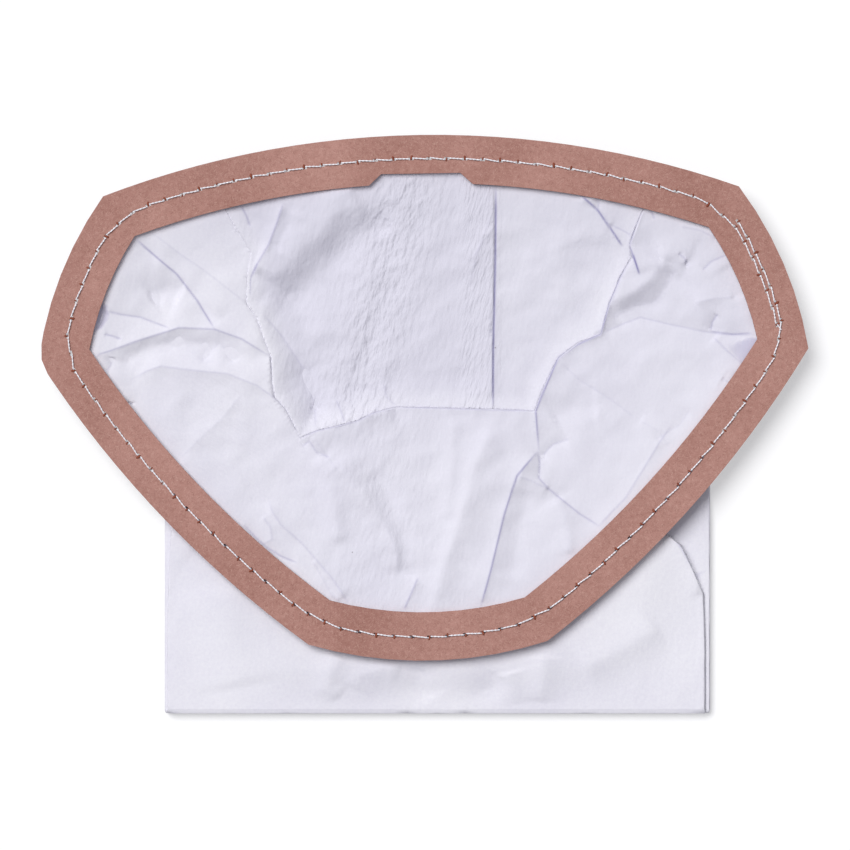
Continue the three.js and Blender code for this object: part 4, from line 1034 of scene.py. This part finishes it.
def make_bag():
    bag = copy_of(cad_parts["paper_bag"].data, "folded_paper_bag")
    mesh = bag.data
    cut_along, snap_to = [FOLDED_EDGE], []
    for line, (layer, _, _, _, power, dark, _) in zip(CREASE_LINES, CREASES):
        if power < SHARP or dark >= 0.1:
            cut_along.append(line)
        if (power < VERY_SHARP or dark >= 0.2) and layer != "edge":
            snap_to.append(line)
    refine(bag, cut_along)
    draw_onto(mesh, snap_to)
    sheet = Sheet(mesh)
    co = soften_ridges(bag, sheet)
    sheet.sort_layers(co[:, 2])
    resting = co[:, 2].copy()
    # tone holds the painted shade lines along the creases, and later the painted shade of the patches beside
    # the board
    rise, tone = press_creases(sheet)
    rise += ripples(sheet)
    in_front = (sheet.up > 0.3) & (co[:, 2] > FRONT_FLOOR)
    moves = np.where(sheet.fade_front > 0, in_front, sheet.upper | sheet.back)
    co[:, 2] += rise * moves + swell_beside_collar(sheet, co[:, 2])
    close_back_panel(sheet, co)
    tone = lift_to_board(sheet, co, tone)
    keep_layers_apart(sheet, co, resting)
    straighten_left_edge(sheet, co)
    square_foot(co)
    move_corners(mesh, co)
    paint_zones(mesh, sheet, tone)
    smooth_faces(bag)
    return finish_piece(bag, PAPER, "filter_paper", "paper_bag")


make_bag()

# Thread: two plies twisted round each other, one length from each needle hole to the next

# In metres: a ply's radius, its distance from the thread's middle, that middle above the board, the free tail
PLY_RADIUS = 0.0002
PLY_OFFSET = 0.00018
THREAD_RISE = 0.00042
TAIL = (0.0022, -0.0023)
TURNS = 2.5


def make_ply():
    """A straight ply of unit length, cut into ten rings."""
    cylinder = bpy.ops.mesh.primitive_cylinder_add
    ply = add(cylinder, "ply", vertices=5, radius=0.5, depth=1, end_fill_type="TRIFAN")
    only(ply)
    bpy.ops.object.mode_set(mode="EDIT")
    for k in range(1, 10):
        bpy.ops.mesh.select_all(action="SELECT")
        bpy.ops.mesh.bisect(plane_co=(0, 0, -0.5 + k / 10), plane_no=(0, 0, 1))
    bpy.ops.object.mode_set(mode="OBJECT")
    return ply


def stitches():
    """Both ends of each stitch, with 1 where its far end goes down a hole and 0 for the free tail."""
    spans = [(MARKS[i][0], MARKS[i + 1][0], 1) for i in range(len(MARKS) - 1)]
    last = min(MARKS[0][0], MARKS[-1][0], key=lambda p: p[1])
    return spans + [(last, last + np.array(TAIL), 0)]


def laid_ply(base, i, k, start, stop, closes):
    """Corners of one ply of one stitch: twisted, a little askew, and going down at its ends."""
    way = stop - start
    length = np.linalg.norm(way)
    way = way / length
    side = np.array([-way[1], way[0]])
    t = base[:, 2] + 0.5
    end = np.abs(2 * t - 1)
    arch = np.sin(math.pi * t)
    phase = k * math.pi + t * math.tau * TURNS + i
    taper = 1 - 0.25 * end ** 6
    across = base[:, 0] * 2 * PLY_RADIUS * taper + np.cos(phase) * PLY_OFFSET
    above = base[:, 1] * 2 * PLY_RADIUS * taper + np.sin(phase) * PLY_OFFSET
    dive = np.where(end > 0.93, (end - 0.93) / 0.07, 0) ** 1.3 * 0.0013 * np.where(t > 0.5, closes, 1)
    askew = 0.00010 * math.sin(i * 2.3) * arch + (0.5 - t) * (0.0006 + 0.0004 * math.sin(i * 1.9))
    x = start[0] + way[0] * (t * length) + side[0] * (across + askew)
    y = start[1] + way[1] * (t * length) + side[1] * (across + askew)
    z = BOARD_TOP + THREAD_RISE + above - dive + 0.00022 * arch
    return np.stack([x, y, z], 1)


def make_thread():
    ply = make_ply()
    base = corners(ply.data)
    made = []
    for i, (start, stop, closes) in enumerate(stitches()):
        for k in range(2):
            length = copy_of(ply.data, "ply_" + str(i) + "_" + str(k))
            move_corners(length.data, laid_ply(base, i, k, start, stop, closes))
            made.append(length)
    thread = join(made, "twisted_thread")
    bpy.data.objects.remove(ply)
    only(thread)
    bpy.ops.object.mode_set(mode="EDIT")
    bpy.ops.mesh.select_all(action="SELECT")
    bpy.ops.mesh.normals_make_consistent(inside=False)
    bpy.ops.object.mode_set(mode="OBJECT")
    bpy.ops.object.shade_smooth()
    return finish_piece(thread, THREAD, "white_thread", "sewing_thread")


make_thread()

# Torn board fibre pushed up beside each needle hole


def make_chip():
    cone = bpy.ops.mesh.primitive_cone_add
    chip = add(cone, "chip", vertices=6, radius1=0.00095, radius2=0.0004, depth=0.0008)
    only(chip)
    bpy.ops.object.mode_set(mode="EDIT")
    bpy.ops.mesh.select_all(action="SELECT")
    bpy.ops.transform.resize(value=(0.75, 1.5, 0.7))
    bpy.ops.mesh.select_all(action="SELECT")
    bpy.ops.mesh.bevel(offset=0.00012, segments=1)
    bpy.ops.object.mode_set(mode="OBJECT")
    return chip


# Middle of the collar's seam, and the corner of the part of it, low on the right, whose burrs stand inwards
SEAM_MIDDLE = (0, 0.01)
INWARDS_FROM = (0.045, 0.03)


def burr_side(i, place, way):
    """The side of the seam on which a hole's burr stands: outwards, or inwards low on the right."""
    side = np.array([-way[1], way[0]])
    if side @ (place - np.array(SEAM_MIDDLE)) < 0:
        side = -side
    if place[0] > INWARDS_FROM[0] and place[1] < INWARDS_FROM[1]:
        side = -side
    if i % 5 == 3:
        side = -side
    return side


def make_burrs():
    chip = make_chip()
    made = []
    for i, (place, way) in enumerate(MARKS):
        side = burr_side(i, place, way)
        centre = place + side * 0.0005 + way * 0.0002 * math.sin(i * 1.7)
        angle = math.atan2(side[1], side[0]) - math.pi / 2 + 0.35 * math.sin(i * 2.9)
        size = 0.8 + 0.3 * math.sin(i * 4.1) + 0.15 * math.sin(i * 7.7)
        stand = Matrix.Translation((centre[0], centre[1], BOARD_TOP + 0.00012))
        burr = copy_of(chip.data, "needle_burrs_" + str(i))
        burr.data.transform(stand @ Matrix.Rotation(angle, 4, "Z") @ Matrix.Scale(size, 4))
        made.append(burr)
    burrs = join(made, "needle_burrs")
    bpy.data.objects.remove(chip)
    only(burrs)
    bpy.ops.object.shade_smooth()
    return finish_piece(burrs, BURR, "kraft_board")


make_burrs()

# Floor, light and camera


def seen_rays(t):
    """1 for what the camera sees and for reflections, and 0 for the light that falls on the object."""
    path = t.nodes.new("ShaderNodeLightPath")
    return math_node(t, "MAXIMUM", path.outputs["Is Camera Ray"], path.outputs["Is Glossy Ray"])


def make_floor():
    floor = add(bpy.ops.mesh.primitive_plane_add, "floor", size=8, location=(0, 0, -0.0003))
    only(floor)
    bpy.ops.object.transform_apply(location=True, rotation=True, scale=True)
    pale = bpy.data.materials.new("pale_floor")
    pale.use_nodes = True
    t = pale.node_tree
    b = t.nodes["Principled BSDF"]
    b.inputs["Base Color"].default_value = (0.61, 0.61, 0.61, 1)
    b.inputs["Roughness"].default_value = 0.9
    b.inputs["Emission Color"].default_value = (1, 1, 1, 1)
    link(t, math_node(t, "MULTIPLY", seen_rays(t), 0.4), b.inputs["Emission Strength"])
    floor.data.materials.append(pale)


def make_studio():
    """An even, slightly cool surrounding light that looks plain white, and a soft key light."""
    world = bpy.data.worlds.new("studio")
    scene.world = world
    world.use_nodes = True
    t = world.node_tree
    background = t.nodes["Background"]
    seen = seen_rays(t)
    link(t, mix_color(t, seen, (0.91, 0.91, 1.0, 1), (1.0, 1.0, 1.0, 1)), background.inputs["Color"])
    level = math_node(t, "ADD", math_node(t, "MULTIPLY", seen, 0.64), 0.36)
    link(t, level, background.inputs["Strength"])
    sun = bpy.data.lights.new("key", "SUN")
    sun.energy = 2.6
    sun.angle = math.radians(38)
    key = bpy.data.objects.new("key", sun)
    scene.collection.objects.link(key)
    key.rotation_euler = Vector((-0.5, 0.5, 1.12)).to_track_quat("Z", "Y").to_euler()


def make_camera():
    """Straight above the middle of the drawing, as far up as takes in its whole width."""
    camera = bpy.data.cameras.new("camera")
    camera.lens = 200
    camera.sensor_width = 36
    camera.clip_end = 50
    eye = bpy.data.objects.new("camera", camera)
    scene.collection.objects.link(eye)
    x, y = here(DRAWING_WIDTH / 2, DRAWING_WIDTH / 2)
    distance = DRAWING_WIDTH * UNIT / 1000 * camera.lens / camera.sensor_width
    eye.location = (x, y, BOARD_TOP + distance)
    scene.camera = eye


make_floor()
make_studio()
make_camera()
scene.view_settings.view_transform = "Standard"
